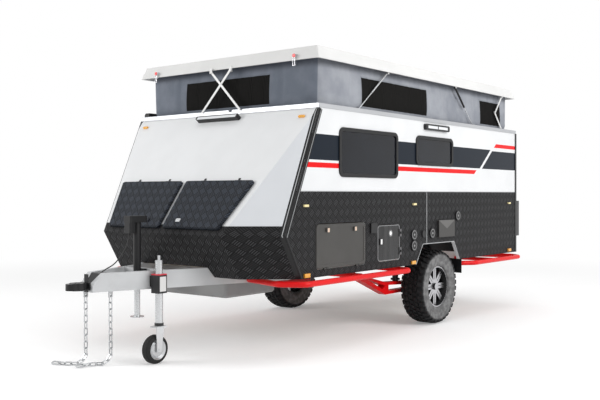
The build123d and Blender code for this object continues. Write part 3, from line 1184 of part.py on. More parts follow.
fork_y = JOCKEY_Y + JOCKEY_W / 2 + FORK_GAP
with BuildPart() as jockey_fork:
    rod((JOCKEY_X, JOCKEY_Y, LEG_LOW_Z - 10), (JOCKEY_X, JOCKEY_Y, LEG_LOW_Z + SWIVEL_LEN - 4),
        SWIVEL_R)
    rod((JOCKEY_X, JOCKEY_Y, LEG_LOW_Z - 24), (JOCKEY_X, JOCKEY_Y, LEG_LOW_Z - 1), LEG_R + 6)
    block((JOCKEY_X - 34, JOCKEY_Y - 30, LEG_LOW_Z - 36),
          (JOCKEY_X + TRAIL + 30, fork_y + FORK_T, LEG_LOW_Z - 24))
    prism_y(((JOCKEY_X - 10, LEG_LOW_Z - 24), (JOCKEY_X + TRAIL + 30, LEG_LOW_Z - 24),
             (JOCKEY_X + TRAIL + 22, JOCKEY_R - 20), (JOCKEY_X + TRAIL - 22, JOCKEY_R - 20)),
            fork_y, fork_y + FORK_T)
    rod((JOCKEY_X + TRAIL, JOCKEY_Y - JOCKEY_W / 2 - 4, JOCKEY_R),
        (JOCKEY_X + TRAIL, fork_y + FORK_T + 6, JOCKEY_R), JOCKEY_PIN_R)
    rod((JOCKEY_X + TRAIL, JOCKEY_Y - JOCKEY_W / 2 - 12, JOCKEY_R),
        (JOCKEY_X + TRAIL, JOCKEY_Y - JOCKEY_W / 2 - 4, JOCKEY_R), JOCKEY_PIN_R + 6)
keep(jockey_fork, "jockey_fork")

with BuildPart() as jockey_wheel:
    wheel_axis = Axis((JOCKEY_X + TRAIL, JOCKEY_Y, JOCKEY_R), (0, 1, 0))
    half = JOCKEY_W / 2
    with BuildSketch(Plane(origin=wheel_axis.position, x_dir=(0, 0, 1), z_dir=(1, 0, 0))) as ring:
        with BuildLine():
            Polyline((JOCKEY_PIN_R + RUNNING_FIT, half - 4), (58, half - 4), (66, half - 14),
                     (84, half), (JOCKEY_R - 6, half - 8), (JOCKEY_R, half - 20),
                     (JOCKEY_R, 20 - half), (JOCKEY_R - 6, 8 - half), (84, -half),
                     (66, 14 - half), (58, 4 - half), (JOCKEY_PIN_R + RUNNING_FIT, 4 - half),
                     close=True)
        make_face()
    revolve(ring.sketch, axis=wheel_axis)
keep(jockey_wheel, "jockey_wheel")

# Safety chains: links placed one through the next, down to the ground and along it
LINK_LEN = 69.0
LINK_WIDE = 36.0
LINK_WIRE = 8.0
LINK_SEAT = 3.3            # how far the first link's wire hangs below the hole's centre
HANG_LINKS = 9
TURN_ANGLES = (31.0, 60.0)   # of the two links that turn a chain from hanging to lying
BEND_SLACK = 1.7           # room a link needs where it turns, in half wires
SHACKLE = (84.0, 42.0, 10.0)
SHACKLE_LEAN = 0.4         # from square to the last link, 0, to flat on the ground, 1


def chain_link(centre, heading, across, length, wide, wire):
    """Flat eight-sided ring along its heading."""
    plane = Plane(origin=centre, x_dir=heading, z_dir=heading.cross(across))
    corner = wide * 0.28
    with BuildSketch(plane.offset(-wire / 2)) as ring:
        for along, over, cut, mode in ((length, wide, corner, Mode.ADD),
                                       (length - 2 * wire, wide - 2 * wire, corner / 3,
                                        Mode.SUBTRACT)):
            half, side = along / 2, over / 2
            with BuildLine():
                Polyline((half, side - cut), (half - cut, side), (cut - half, side),
                         (-half, side - cut), (-half, cut - side), (cut - half, -side),
                         (half - cut, -side), (half, cut - side), close=True)
            make_face(mode=mode)
    extrude(ring.sketch, amount=wire)


with BuildPart() as safety_chains:
    for top_x, top_y, headings in CHAINS:
        down = Vector(0, 0, -1)
        first = radians(headings[0])
        steps = [down] * (HANG_LINKS - 1)
        for angle in TURN_ANGLES:
            out = sin(radians(angle))
            steps.append(Vector(cos(first) * out, sin(first) * out, -cos(radians(angle))))
        steps += [Vector(cos(radians(angle)), sin(radians(angle)), 0) for angle in headings]
        before, across = down, Vector(0, 1, 0)
        centre = Vector(top_x, top_y, LUG_HOLE_Z) + down * (LINK_SEAT + (LINK_LEN - LINK_WIRE) / 2)
        chain_link(centre, down, across, LINK_LEN, LINK_WIDE, LINK_WIRE)
        for heading in steps:
            turn = radians(before.get_angle(heading))
            slack = FIT + LINK_WIRE / 2 * (cos(turn) + BEND_SLACK * sin(turn) - 1)
            wire_end = centre + before * (LINK_LEN - LINK_WIRE) / 2
            centre = wire_end + heading * (LINK_LEN / 2 - 1.5 * LINK_WIRE - slack)
            across = heading.cross(across).normalized()
            chain_link(centre, heading, across, LINK_LEN, LINK_WIDE, LINK_WIRE)
            before = heading
        length, wide, wire = SHACKLE
        wire_end = centre + heading * (LINK_LEN - LINK_WIRE) / 2
        centre = wire_end + heading * (length / 2 - wire - LINK_WIRE / 2 - FIT)
        square = heading.cross(across).normalized()
        flat = heading.cross(Vector(0, 0, 1))
        if flat.dot(square) < 0:
            flat = flat * -1
        across = (square * (1 - SHACKLE_LEAN) + flat * SHACKLE_LEAN).normalized()
        chain_link(centre, heading, across, length, wide, wire)
keep(safety_chains, "safety_chains")

# Furniture: bed base, bulkhead with its shelf, rear bench and the cabinet over the left wheel well
BOARD_T = 15.0
BED_TOP_Z = 1165.0
BED_REAR_X = -250.0
BULKHEAD_X = 1400.0
SHELF_Z = 1560.0
BENCH_XS = (-2700.0, -2150.0)
BENCH_TOP_Z = 1200.0
CABINET_XS = (-1850.0, -400.0)
CABINET_IN_Y = 620.0
CABINET_TOP_Z = 1620.0
with BuildPart() as furniture:
    block((BED_REAR_X, -IN_Y, BED_TOP_Z - BOARD_T), (BULKHEAD_X, IN_Y, BED_TOP_Z))
    block((BED_REAR_X, -IN_Y, FLOOR_TOP_Z), (BED_REAR_X + BOARD_T, IN_Y, BED_TOP_Z))
    block((BULKHEAD_X, -IN_Y, FLOOR_TOP_Z), (BULKHEAD_X + BOARD_T, IN_Y, SHELF_Z))
    block((BULKHEAD_X, -IN_Y, SHELF_Z - BOARD_T), (RIDGE_X, IN_Y, SHELF_Z))
    block((BENCH_XS[0] + BOARD_T, -IN_Y, BENCH_TOP_Z - BOARD_T), (BENCH_XS[1], IN_Y, BENCH_TOP_Z))
    block((BENCH_XS[1] - BOARD_T, -IN_Y, FLOOR_TOP_Z), (BENCH_XS[1], IN_Y, BENCH_TOP_Z))
    block((CABINET_XS[0], CABINET_IN_Y, FLOOR_TOP_Z), (CABINET_XS[1], CABINET_IN_Y + BOARD_T,
                                                       CABINET_TOP_Z))
    block((CABINET_XS[0], CABINET_IN_Y, CABINET_TOP_Z - BOARD_T), (CABINET_XS[1], IN_Y,
                                                                   CABINET_TOP_Z))
    for x in (CABINET_XS[0], CABINET_XS[1] - BOARD_T):
        block((x, CABINET_IN_Y, FLOOR_TOP_Z), (x + BOARD_T, IN_Y, CABINET_TOP_Z))
    add(inner_body, mode=Mode.INTERSECT)
    add(wheel_wells.part, mode=Mode.SUBTRACT)
keep(furniture, "furniture")
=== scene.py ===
"""Looks of the off-road camper trailer: materials, canvas, tyres, lights and camera, in metres."""

from math import cos, pi, radians, sin

import bmesh
import bpy
from mathutils import Matrix, Vector


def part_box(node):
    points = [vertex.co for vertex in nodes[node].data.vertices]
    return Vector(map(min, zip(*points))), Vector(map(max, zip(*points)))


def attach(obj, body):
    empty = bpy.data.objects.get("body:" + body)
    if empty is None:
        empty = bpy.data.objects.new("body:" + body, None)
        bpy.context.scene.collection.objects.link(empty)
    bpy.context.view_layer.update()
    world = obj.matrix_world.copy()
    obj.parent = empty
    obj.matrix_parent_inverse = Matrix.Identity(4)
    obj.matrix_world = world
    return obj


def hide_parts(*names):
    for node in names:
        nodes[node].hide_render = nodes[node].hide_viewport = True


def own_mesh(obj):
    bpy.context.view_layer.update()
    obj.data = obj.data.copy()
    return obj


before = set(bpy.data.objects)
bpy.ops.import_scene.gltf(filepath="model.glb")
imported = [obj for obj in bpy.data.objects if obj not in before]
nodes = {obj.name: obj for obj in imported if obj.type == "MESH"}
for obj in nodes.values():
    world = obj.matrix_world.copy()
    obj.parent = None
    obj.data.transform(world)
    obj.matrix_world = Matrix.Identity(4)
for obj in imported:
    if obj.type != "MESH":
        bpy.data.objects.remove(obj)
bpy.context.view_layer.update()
scene = bpy.context.scene
ROOT = "trailer"


# Small tools for materials
class Shader:
    """Principled material whose object coordinates are the row frame, in metres."""

    def __init__(self, name):
        self.material = bpy.data.materials.new(name)
        self.material.use_nodes = True
        self.tree = self.material.node_tree
        self.tree.nodes.clear()
        self.output = self.node("ShaderNodeOutputMaterial")
        self.bsdf = self.node("ShaderNodeBsdfPrincipled")
        self.link(self.bsdf.outputs[0], self.output.inputs["Surface"])
        self.coords = self.node("ShaderNodeTexCoord").outputs["Object"]
        split = self.node("ShaderNodeSeparateXYZ")
        self.link(self.coords, split.inputs[0])
        self.x, self.y, self.z = split.outputs

    def node(self, kind, **properties):
        made = self.tree.nodes.new(kind)
        for name, value in properties.items():
            setattr(made, name, value)
        return made

    def link(self, start, end):
        self.tree.links.new(start, end)

    def put(self, socket, value):
        """Set a socket to a number or colour, or link another socket into it."""
        if hasattr(value, "is_linked"):
            self.link(value, socket)
        elif isinstance(value, tuple) and len(value) == 3 and socket.type == "RGBA":
            socket.default_value = (*value, 1.0)
        else:
            socket.default_value = value

    def math(self, operation, *values, clamp=False):
        made = self.node("ShaderNodeMath", operation=operation, use_clamp=clamp)
        for socket, value in zip(made.inputs, values):
            self.put(socket, value)
        return made.outputs[0]

    def ramp(self, value, low, high, start=0.0, end=1.0):
        """Smooth step of value from low to high."""
        made = self.node("ShaderNodeMapRange", interpolation_type="SMOOTHSTEP")
        for name, number in (("Value", value), ("From Min", low), ("From Max", high),
                             ("To Min", start), ("To Max", end)):
            self.put(made.inputs[name], number)
        return made.outputs[0]

    def mix(self, share, first, second):
        made = self.node("ShaderNodeMix", data_type="RGBA")
        self.put(made.inputs["Factor"], share)
        self.put(made.inputs["A"], first)
        self.put(made.inputs["B"], second)
        return made.outputs["Result"]

    def noise(self, scale, detail=3.0, stretch=None):
        made = self.node("ShaderNodeTexNoise")
        made.inputs["Scale"].default_value = scale
        made.inputs["Detail"].default_value = detail
        source = self.coords
        if stretch:
            mapping = self.node("ShaderNodeMapping")
            mapping.inputs["Scale"].default_value = stretch
            self.link(self.coords, mapping.inputs["Vector"])
            source = mapping.outputs[0]
        self.link(source, made.inputs["Vector"])
        return made.outputs["Fac"]

    def bump(self, height, distance, strength=1.0, before=None):
        made = self.node("ShaderNodeBump")
        made.inputs["Strength"].default_value = strength
        made.inputs["Distance"].default_value = distance
        self.link(height, made.inputs["Height"])
        if before is not None:
            self.link(before, made.inputs["Normal"])
        self.link(made.outputs[0], self.bsdf.inputs["Normal"])
        return made.outputs[0]

    def set(self, **values):
        names = {"color": "Base Color", "rough": "Roughness", "metal": "Metallic",
                 "coat": "Coat Weight", "coat_rough": "Coat Roughness",
                 "transmission": "Transmission Weight", "ior": "IOR", "sheen": "Sheen Weight",
                 "specular": "Specular IOR Level", "alpha": "Alpha"}
        for key, value in values.items():
            self.put(self.bsdf.inputs[names[key]], value)
        return self


def finish_of(name, color, rough, metal=0.0, grain=60.0, bump=0.0002, vary=0.06, stretch=None,
              specular=0.5):
    """Plain finish with slight tone and roughness variation and a fine surface grain."""
    made = Shader(name)
    cloud = made.noise(3.0, 4.0)
    fine = made.noise(grain, 3.0, stretch)
    darker = tuple(part * (1 - vary) for part in color)
    made.set(color=made.mix(made.ramp(cloud, 0.35, 0.65), darker, color),
             rough=made.ramp(fine, 0.3, 0.7, max(rough - 0.05, 0.02), min(rough + 0.07, 1.0)),
             metal=metal, specular=specular)
    made.bump(fine, bump)
    return made


EDGE_BLUR = 0.0006           # half width of a painted edge


def inside(made, value, low, high):
    """1 where value lies between low and high."""
    return made.math("MULTIPLY", made.ramp(value, low - EDGE_BLUR, low + EDGE_BLUR),
                     made.ramp(value, high - EDGE_BLUR, high + EDGE_BLUR, 1.0, 0.0))


def side_distance(made, point):
    """Distance in the side view from a point given as (x, z)."""
    squares = [made.math("POWER", made.math("SUBTRACT", value, middle), 2.0)
               for value, middle in zip((made.x, made.z), point)]
    return made.math("SQRT", made.math("ADD", *squares))


WHITE = (0.80, 0.81, 0.82)
CHARCOAL = (0.0085, 0.0085, 0.009)
NAVY = (0.009, 0.014, 0.023)
RED = (0.80, 0.008, 0.010)
SILVER = (0.48, 0.49, 0.50)
AMBER = (0.90, 0.42, 0.04)
PALE_AMBER = (0.92, 0.78, 0.40)
BLACK_PAINT = (0.012, 0.012, 0.013)
BLACK_PLASTIC = (0.014, 0.014, 0.015)

# Side walls: stripes with slanted ends on white
# low z, high z, where the slanted end meets the low edge, its run in x per metre up, which side
STRIPES = (
    (1.687, 1.912, -1.740, -1.244, "ahead", NAVY),
    (1.620, 1.665, -1.600, -1.244, "ahead", RED),
    (1.685, 1.900, -1.795, -1.244, "behind", NAVY),
    (1.942, 1.987, -2.110, -1.244, "behind", RED),
)
WALL_FACE_Y = 1.1495         # outer faces of the side walls, where the stripes are


def striped_wall():
    made = Shader("wall_gelcoat")
    cloud = made.noise(2.5, 4.0)
    paint = made.mix(made.ramp(cloud, 0.35, 0.65), (0.77, 0.78, 0.79), WHITE)
    outer = made.ramp(made.math("ABSOLUTE", made.y), WALL_FACE_Y, WALL_FACE_Y + 0.0003)
    for low, high, end_x, run, side, color in STRIPES:
        edge = made.math("MULTIPLY_ADD", made.math("SUBTRACT", made.z, low), run, end_x)
        ahead = made.math("SUBTRACT", made.x, edge)
        if side == "behind":
            ahead = made.math("MULTIPLY", ahead, -1.0)
        band = made.math("MULTIPLY", inside(made, made.z, low, high),
                         made.ramp(ahead, -EDGE_BLUR, EDGE_BLUR))
        paint = made.mix(made.math("MULTIPLY", band, outer), paint, color)
    made.set(color=paint, rough=0.30, specular=0.12)
    made.bump(made.noise(9.0, 2.0), 0.0006, 0.2)
    return made


# Checker plate: squares of parallel bars, turned from one square to the next
CHECKER_CELL = 0.062
CHECKER_BARS = 4.0           # bars in a square
DIAGONAL = 0.7071            # the squares stand on their corners
BAR_SIDES = (0.10, 0.36)     # between which a bar's side slopes, as a share of its pitch
BAR_ENDS = (0.36, 0.44)      # between which its end slopes, as a share of the square
BAR_HIGHLIGHTS = (6.5, 3.2)       # painted highlight: how much paler the bars are drawn in one square and in the next
PLATE_TOP_Z = 1.420
SEAM_X = -0.516
STRIP_W = 0.007              # width of the pale strips on the edges
ARCH_TOP_Z = 0.872
# point on the arch's edge, outward direction, as (x, z)
ARCH_EDGES = (
    ((-0.441, 0.872), (0.8204, 0.5718)),
    ((-1.109, 0.872), (-0.8417, 0.5399)),
)


def across_line(made, point, outward):
    """Signed distance in the side view from a line through a point."""
    x_part = made.math("MULTIPLY", made.math("SUBTRACT", made.x, point[0]), outward[0])
    z_part = made.math("MULTIPLY", made.math("SUBTRACT", made.z, point[1]), outward[1])
    return made.math("ADD", x_part, z_part)


def plate_edging(made):
    """1 on the pale strips of the side plates: along the top, at the seam, round the arch."""
    top = made.ramp(made.z, PLATE_TOP_Z - STRIP_W, PLATE_TOP_Z - STRIP_W + 0.001)
    seam = made.math("MULTIPLY", inside(made, made.x, SEAM_X - 0.004, SEAM_X + 0.004),
                     made.ramp(made.y, 0.0, 0.1))
    reach = made.math("SUBTRACT", made.z, ARCH_TOP_Z)
    for point, outward in ARCH_EDGES:
        reach = made.math("MAXIMUM", reach, across_line(made, point, outward))
    arch = made.ramp(reach, STRIP_W, STRIP_W + 0.001, 1.0, 0.0)
    return made.math("MAXIMUM", made.math("MAXIMUM", top, seam), arch)


def checker(name, across, color=CHARCOAL, rough=0.42, rise=1.0, bare=None):
    """Checker plate with the level axis x or y; rise is its length per metre up, and bare
    gives the share of bare metal."""
    made = Shader(name)
    level = made.x if across == "x" else made.y
    up = made.math("MULTIPLY", made.z, rise)
    side = 1.0 / CHECKER_CELL
    first = made.math("MULTIPLY", made.math("ADD", level, up), side * DIAGONAL)
    second = made.math("MULTIPLY", made.math("SUBTRACT", level, up), side * DIAGONAL)
    parity = made.math("MODULO", made.math("ABSOLUTE", made.math(
        "ADD", made.math("FLOOR", first), made.math("FLOOR", second))), 2.0)
    a = made.math("FRACT", first)
    b = made.math("FRACT", second)
    swap = made.math("SUBTRACT", b, a)
    along = made.math("MULTIPLY_ADD", parity, swap, a)
    over = made.math("MULTIPLY_ADD", parity, made.math("MULTIPLY", swap, -1.0), b)
    bar = made.math("ABSOLUTE", made.math("SUBTRACT", made.math(
        "FRACT", made.math("MULTIPLY", over, CHECKER_BARS)), 0.5))
    ridge = made.ramp(bar, *BAR_SIDES, 1.0, 0.0)
    ends = made.ramp(made.math("ABSOLUTE", made.math("SUBTRACT", along, 0.5)), *BAR_ENDS, 1.0, 0.0)
    height = made.math("MULTIPLY", ridge, ends)
    cloud = made.noise(5.0, 4.0)
    base = made.mix(made.ramp(cloud, 0.3, 0.7), tuple(c * 0.7 for c in color), color)
    # Painted highlight: the raised bars are drawn paler than the plate, brighter in one square than
    # in the next
    bar_highlight = made.mix(parity, *(tuple(c * tone for c in color) for tone in BAR_HIGHLIGHTS))
    paint = made.mix(made.math("MULTIPLY", height, 0.8), base, bar_highlight)
    gloss = made.ramp(height, 0.0, 1.0, rough + 0.16, rough)
    metal = 0.0
    if bare:
        share = bare(made)
        paint = made.mix(share, paint, SILVER)
        metal = made.math("MULTIPLY", share, 0.8)
    made.set(color=paint, rough=gloss, specular=0.14, metal=metal)
    made.bump(height, 0.0018, 1.0)
    return made


# Slanted front in the side view, as (x, z): a point on its top edge, and the way out of it
NOSE_TOP = (1.341, 2.141)
NOSE_OUT = (0.8079, 0.5893)
LID_LATCH_OUT = 0.0345
LID_LATCH_YS = (0.16, 0.24)


def lid_latch(made):
    """1 on the raised latch plate of the left lid."""
    proud = made.ramp(across_line(made, NOSE_TOP, NOSE_OUT), LID_LATCH_OUT, LID_LATCH_OUT + 0.0015)
    return made.math("MULTIPLY", proud, inside(made, made.y, *LID_LATCH_YS))


# Corner trims of the nose: black with a bright rib on the side and one in front
NOSE_Z = 1.048               # where the nose's upper planes begin
NOSE_AFT = (-0.9187, -0.3950)
TRIM_RIB = (0.0276, 0.0335)
FRONT_RIB = (1.132, 1.137)


def nose_trim():
    made = Shader("nose_trim")
    upper = made.math("MULTIPLY", made.ramp(made.x, 0.9, 1.0),
                      made.ramp(made.z, NOSE_Z - 0.02, NOSE_Z - 0.01))
    side = inside(made, across_line(made, NOSE_TOP, NOSE_AFT), *TRIM_RIB)
    front = inside(made, made.math("ABSOLUTE", made.y), *FRONT_RIB)
    bright = made.math("MULTIPLY", upper, made.math("MAXIMUM", side, front))
    fine = made.noise(90.0, 3.0)
    made.set(color=made.mix(bright, BLACK_PAINT, SILVER),
             metal=made.math("MULTIPLY", bright, 0.9), specular=0.3,
             rough=made.ramp(fine, 0.3, 0.7, 0.30, 0.40))
    made.bump(fine, 0.0002)
    return made


# Doors on the left side, in the side view
LOCKER_PULL_XS = (0.797, 1.216)
LOCKER_PULL_ZS = (1.050, 1.100)
LOCKER_PULL_HALF = 0.014
LOCKER_PULL_Y = 1.161
SERVICE_BOX = (0.018, 0.414, 0.748, 1.090)
SERVICE_CORNER = 0.036
SERVICE_KNOB = (0.184, 1.010)
SERVICE_KNOB_R = 0.021
SERVICE_RING = (0.028, 0.032)
SERVICE_SLOT = (0.346, 0.374, 0.911, 0.959)


def hatch_satin():
    """Dark satin paint with bright latch tabs."""
    made = Shader("hatch_satin")
    tabs = None
    for middle in LOCKER_PULL_XS:
        tab = inside(made, made.x, middle - LOCKER_PULL_HALF, middle + LOCKER_PULL_HALF)
        tabs = tab if tabs is None else made.math("ADD", tabs, tab)
    proud = made.ramp(made.y, LOCKER_PULL_Y, LOCKER_PULL_Y + 0.001)
    tabs = made.math("MULTIPLY", made.math("MULTIPLY", tabs, proud),
                     inside(made, made.z, *LOCKER_PULL_ZS))
    cloud = made.noise(3.0, 4.0)
    fine = made.noise(260.0, 3.0)
    paint = made.mix(made.ramp(cloud, 0.35, 0.65), (0.052, 0.050, 0.047), (0.064, 0.062, 0.058))
    made.set(color=made.mix(tabs, paint, (0.70, 0.55, 0.44)), metal=made.math("MULTIPLY", tabs, 0.9),
             rough=made.ramp(fine, 0.3, 0.7, 0.38, 0.50), specular=0.35)
    made.bump(fine, 0.0004)
    return made


def service_black():
    """Gloss black door with a bright edge, and painted glints that make its knob and its slot pale.
    """
    made = Shader("service_black")
    x0, x1, z0, z1 = SERVICE_BOX
    half_x, half_z, corner = (x1 - x0) / 2, (z1 - z0) / 2, SERVICE_CORNER
    reach = []
    for value, middle, half in ((made.x, (x0 + x1) / 2, half_x), (made.z, (z0 + z1) / 2, half_z)):
        off = made.math("ABSOLUTE", made.math("SUBTRACT", value, middle))
        reach.append(made.math("MAXIMUM", made.math("SUBTRACT", off, half - corner), 0.0))
    round_off = made.math("SQRT", made.math("ADD", made.math("MULTIPLY", reach[0], reach[0]),
                                            made.math("MULTIPLY", reach[1], reach[1])))
    rim = made.ramp(round_off, corner - 0.007, corner - 0.005)
    knob = side_distance(made, SERVICE_KNOB)
    disc = made.ramp(knob, SERVICE_KNOB_R, SERVICE_KNOB_R + 0.001, 1.0, 0.0)
    ring = inside(made, knob, *SERVICE_RING)
    slot = made.math("MULTIPLY", inside(made, made.x, *SERVICE_SLOT[:2]),
                     inside(made, made.z, *SERVICE_SLOT[2:]))
    # Painted glint: the knob and the slot are drawn pale where light glints on them
    pale = made.math("MAXIMUM", disc, slot)
    streak = made.noise(3.0, 3.0, (6.0, 1.0, 0.4))
    black = made.mix(made.ramp(streak, 0.35, 0.7), (0.006, 0.006, 0.007), (0.030, 0.030, 0.031))
    line = made.math("MAXIMUM", rim, ring)
    paint = made.mix(made.math("MULTIPLY", line, 0.8), black, (0.35, 0.35, 0.36))
    made.set(color=made.mix(pale, paint, (0.85, 0.85, 0.85)), rough=0.14, specular=0.35)
    made.bump(streak, 0.0003)
    return made


# Caps and inlets on the left side
CAP_PLACES = ((-0.246, 0.980), (-0.246, 0.869), (-0.619, 0.982), (-1.186, 1.155))
CAP_RING = (0.038, 0.043)
CAP_MIDDLE_R = 0.010
INLET_BOX = (-1.086, -0.739, 0.933, 1.113)


def cap_plastic():
    """Black caps with a pale ring and middle, and a square inlet with painted light: its upper facet
    is drawn lighter than the others.
    """
    made = Shader("cap_plastic")
    near = None
    for place in CAP_PLACES:
        away = side_distance(made, place)
        near = away if near is None else made.math("MINIMUM", near, away)
    light = made.math("MAXIMUM", inside(made, near, *CAP_RING),
                      made.ramp(near, CAP_MIDDLE_R, CAP_MIDDLE_R + 0.002, 1.0, 0.0))
    x0, x1, z0, z1 = INLET_BOX
    inlet = made.math("MULTIPLY", inside(made, made.x, x0, x1), inside(made, made.z, z0, z1))
    wide = made.math("DIVIDE", made.math("SUBTRACT", made.x, (x0 + x1) / 2), (x1 - x0) / 2)
    tall = made.math("DIVIDE", made.math("SUBTRACT", made.z, (z0 + z1) / 2), (z1 - z0) / 2)
    # Painted light: the inlet's upper triangle is drawn lighter and the rest darker, like facets lit
    # from above
    upper = made.ramp(made.math("SUBTRACT", tall, made.math("ABSOLUTE", wide)), -0.01, 0.01)
    inlet_painted_light = made.mix(upper, (0.050, 0.048, 0.046), (0.125, 0.122, 0.118))
    fine = made.noise(420.0, 3.0)
    paint = made.mix(made.math("MULTIPLY", light, 0.75), BLACK_PLASTIC, (0.42, 0.42, 0.42))
    made.set(color=made.mix(inlet, paint, inlet_painted_light), specular=0.35,
             rough=made.ramp(fine, 0.3, 0.7, 0.34, 0.48))
    made.bump(fine, 0.0003)
    return made


# Jockey wheel: silver rim in a black tyre, and the collar on top of its fork
JOCKEY_HUB = (2.464, 0.118)
JOCKEY_RIM_R = 0.083
COLLAR_LOW_Z = 0.3065


def jockey_tyre():
    """Black tyre with fine grooves round it and a silver rim."""
    made = Shader("jockey_tyre")
    away = side_distance(made, JOCKEY_HUB)
    rim = made.ramp(away, JOCKEY_RIM_R, JOCKEY_RIM_R + 0.001, 1.0, 0.0)
    groove = made.ramp(made.math("FRACT", made.math("MULTIPLY", made.y, 110.0)), 0.35, 0.5)
    made.set(color=made.mix(rim, (0.012, 0.012, 0.012), (0.58, 0.59, 0.60)),
             metal=made.math("MULTIPLY", rim, 0.7), rough=made.ramp(rim, 0.0, 1.0, 0.7, 0.3),
             specular=0.3)
    made.bump(made.math("MULTIPLY", groove, made.math("SUBTRACT", 1.0, rim)), 0.001)
    return made


def fork_paint():
    """Pale fork with a black collar on its top."""
    made = Shader("fork_paint")
    collar = made.ramp(made.z, COLLAR_LOW_Z - 0.0005, COLLAR_LOW_Z)
    fine = made.noise(70.0, 3.0)
    made.set(color=made.mix(collar, (0.66, 0.67, 0.68), BLACK_PLASTIC),
             metal=made.ramp(collar, 0.0, 1.0, 0.3, 0.0), rough=made.ramp(fine, 0.3, 0.7, 0.3, 0.4))
    made.bump(fine, 0.0002)
    return made


# Label and top band of the jockey wheel's clamp
LABEL_FACE_Y = 0.359
LABEL_XS = (2.385, 2.453)
LABEL_ZS = (0.590, 0.712)
CLAMP_BAND_Z = 0.724


def clamp_black():
    """Black clamp with a bare white label and a red band at its top."""
    made = Shader("clamp_black")
    face = made.ramp(made.y, LABEL_FACE_Y, LABEL_FACE_Y + 0.0005)
    label = made.math("MULTIPLY", face, made.math(
        "MULTIPLY", inside(made, made.x, *LABEL_XS), inside(made, made.z, *LABEL_ZS)))
    band = made.ramp(made.z, CLAMP_BAND_Z, CLAMP_BAND_Z + 0.001)
    fine = made.noise(300.0, 3.0)
    paint = made.mix(band, BLACK_PLASTIC, (0.62, 0.04, 0.06))
    made.set(color=made.mix(label, paint, (0.72, 0.72, 0.71)), specular=0.35,
             rough=made.ramp(fine, 0.3, 0.7, 0.38, 0.5))
    made.bump(fine, 0.0003)
    return made


REAR_LENS_X = -2.741
PALE_LENS_ZS = (1.20, 1.35)


def lamp_lens():
    """Amber lenses, and red ones at the rear, with fine ribs."""
    made = Shader("lamp_lens")
    rear = made.ramp(made.x, REAR_LENS_X, REAR_LENS_X + 0.0005, 1.0, 0.0)
    ribs = made.math("FRACT", made.math("MULTIPLY", made.z, 220.0))
    pale = inside(made, made.z, *PALE_LENS_ZS)
    made.set(color=made.mix(rear, made.mix(pale, AMBER, PALE_AMBER), (0.65, 0.01, 0.01)),
             rough=0.15, coat=0.4)
    made.bump(made.ramp(ribs, 0.2, 0.8), 0.0006)
    return made


# Lenses of the side light and of the front light
SIDE_LENS_Z = 2.0875
SIDE_LENS_X = -0.7035
SIDE_LENS_HALF = (0.205, 0.013)
SIDE_LENS_Y = 1.181
FRONT_LENS_Z = 2.116
FRONT_LENS_HALF = (0.25, 0.012)
FRONT_LENS_OUT = 0.0505


def work_light():
    """Black housing with ribbed pale lenses on its outer faces."""
    made = Shader("work_light")
    height = made.math("ABSOLUTE", made.math("SUBTRACT", made.z, SIDE_LENS_Z))
    away = made.math("ABSOLUTE", made.math("SUBTRACT", made.x, SIDE_LENS_X))
    side = made.ramp(made.math("ABSOLUTE", made.y), SIDE_LENS_Y, SIDE_LENS_Y + 0.001)
    half_x, half_z = SIDE_LENS_HALF
    long = made.ramp(away, half_x, half_x + 0.003, 1.0, 0.0)
    gap = made.ramp(away, 0.008, 0.011)
    tall = made.ramp(height, half_z, half_z + 0.002, 1.0, 0.0)
    lens = made.math("MULTIPLY", made.math("MULTIPLY", tall, side),
                     made.math("MULTIPLY", long, gap))
    raised = made.ramp(across_line(made, NOSE_TOP, NOSE_OUT), FRONT_LENS_OUT,
                       FRONT_LENS_OUT + 0.0007)
    half_y, half_z = FRONT_LENS_HALF
    bar = made.math("MULTIPLY", inside(made, made.z, FRONT_LENS_Z - half_z, FRONT_LENS_Z + half_z),
                    inside(made, made.y, -half_y, half_y))
    lens = made.math("MAXIMUM", lens, made.math("MULTIPLY", raised, bar))
    ribs = made.math("FRACT", made.math("MULTIPLY", made.math("ADD", made.x, made.y), 60.0))
    made.set(color=made.mix(lens, BLACK_PAINT, (0.80, 0.82, 0.84)),
             rough=made.ramp(lens, 0.0, 1.0, 0.4, 0.12), specular=0.35)
    made.bump(made.math("MULTIPLY", made.ramp(ribs, 0.1, 0.9), lens), 0.001)
    return made


ROOF_MIDDLE_X = -0.6845
LATCH_CAP_REACH = 2.0515     # from the roof's middle to the red caps
LATCH_CAP_Z = 2.594


def latch_metal():
    """Steel latches with a red cap on the screw."""
    made = Shader("latch_metal")
    along = made.math("ABSOLUTE", made.math("SUBTRACT", made.x, ROOF_MIDDLE_X))
    ahead = made.ramp(along, LATCH_CAP_REACH, LATCH_CAP_REACH + 0.0005)
    cap = made.math("MULTIPLY", ahead, made.ramp(made.z, LATCH_CAP_Z, LATCH_CAP_Z + 0.001))
    cloud = made.noise(40.0, 3.0)
    made.set(color=made.mix(cap, made.mix(cloud, (0.5, 0.5, 0.52), (0.75, 0.75, 0.77)), RED),
             metal=made.math("SUBTRACT", 1.0, cap), rough=0.25)
    made.bump(cloud, 0.0002)
    return made


def rim_metal(name, outward):
    """Alloy: bright where the face looks outboard, black in the pockets and the barrel."""
    made = Shader(name)
    geometry = made.node("ShaderNodeNewGeometry")
    facing = made.node("ShaderNodeVectorMath", operation="DOT_PRODUCT")
    turned = made.node("ShaderNodeVectorTransform", vector_type="NORMAL", convert_from="WORLD",
                       convert_to="OBJECT")
    made.link(geometry.outputs["True Normal"], turned.inputs[0])
    made.link(turned.outputs[0], facing.inputs[0])
    facing.inputs[1].default_value = outward
    bright = made.ramp(facing.outputs["Value"], 0.90, 0.97)
    fine = made.noise(180.0, 2.0)
    made.set(color=made.mix(bright, (0.010, 0.010, 0.011), (0.52, 0.52, 0.54)),
             metal=made.ramp(bright, 0.0, 1.0, 0.0, 1.0), specular=0.3,
             rough=made.ramp(fine, 0.3, 0.7, 0.22, 0.34))
    made.bump(fine, 0.0001)
    return made


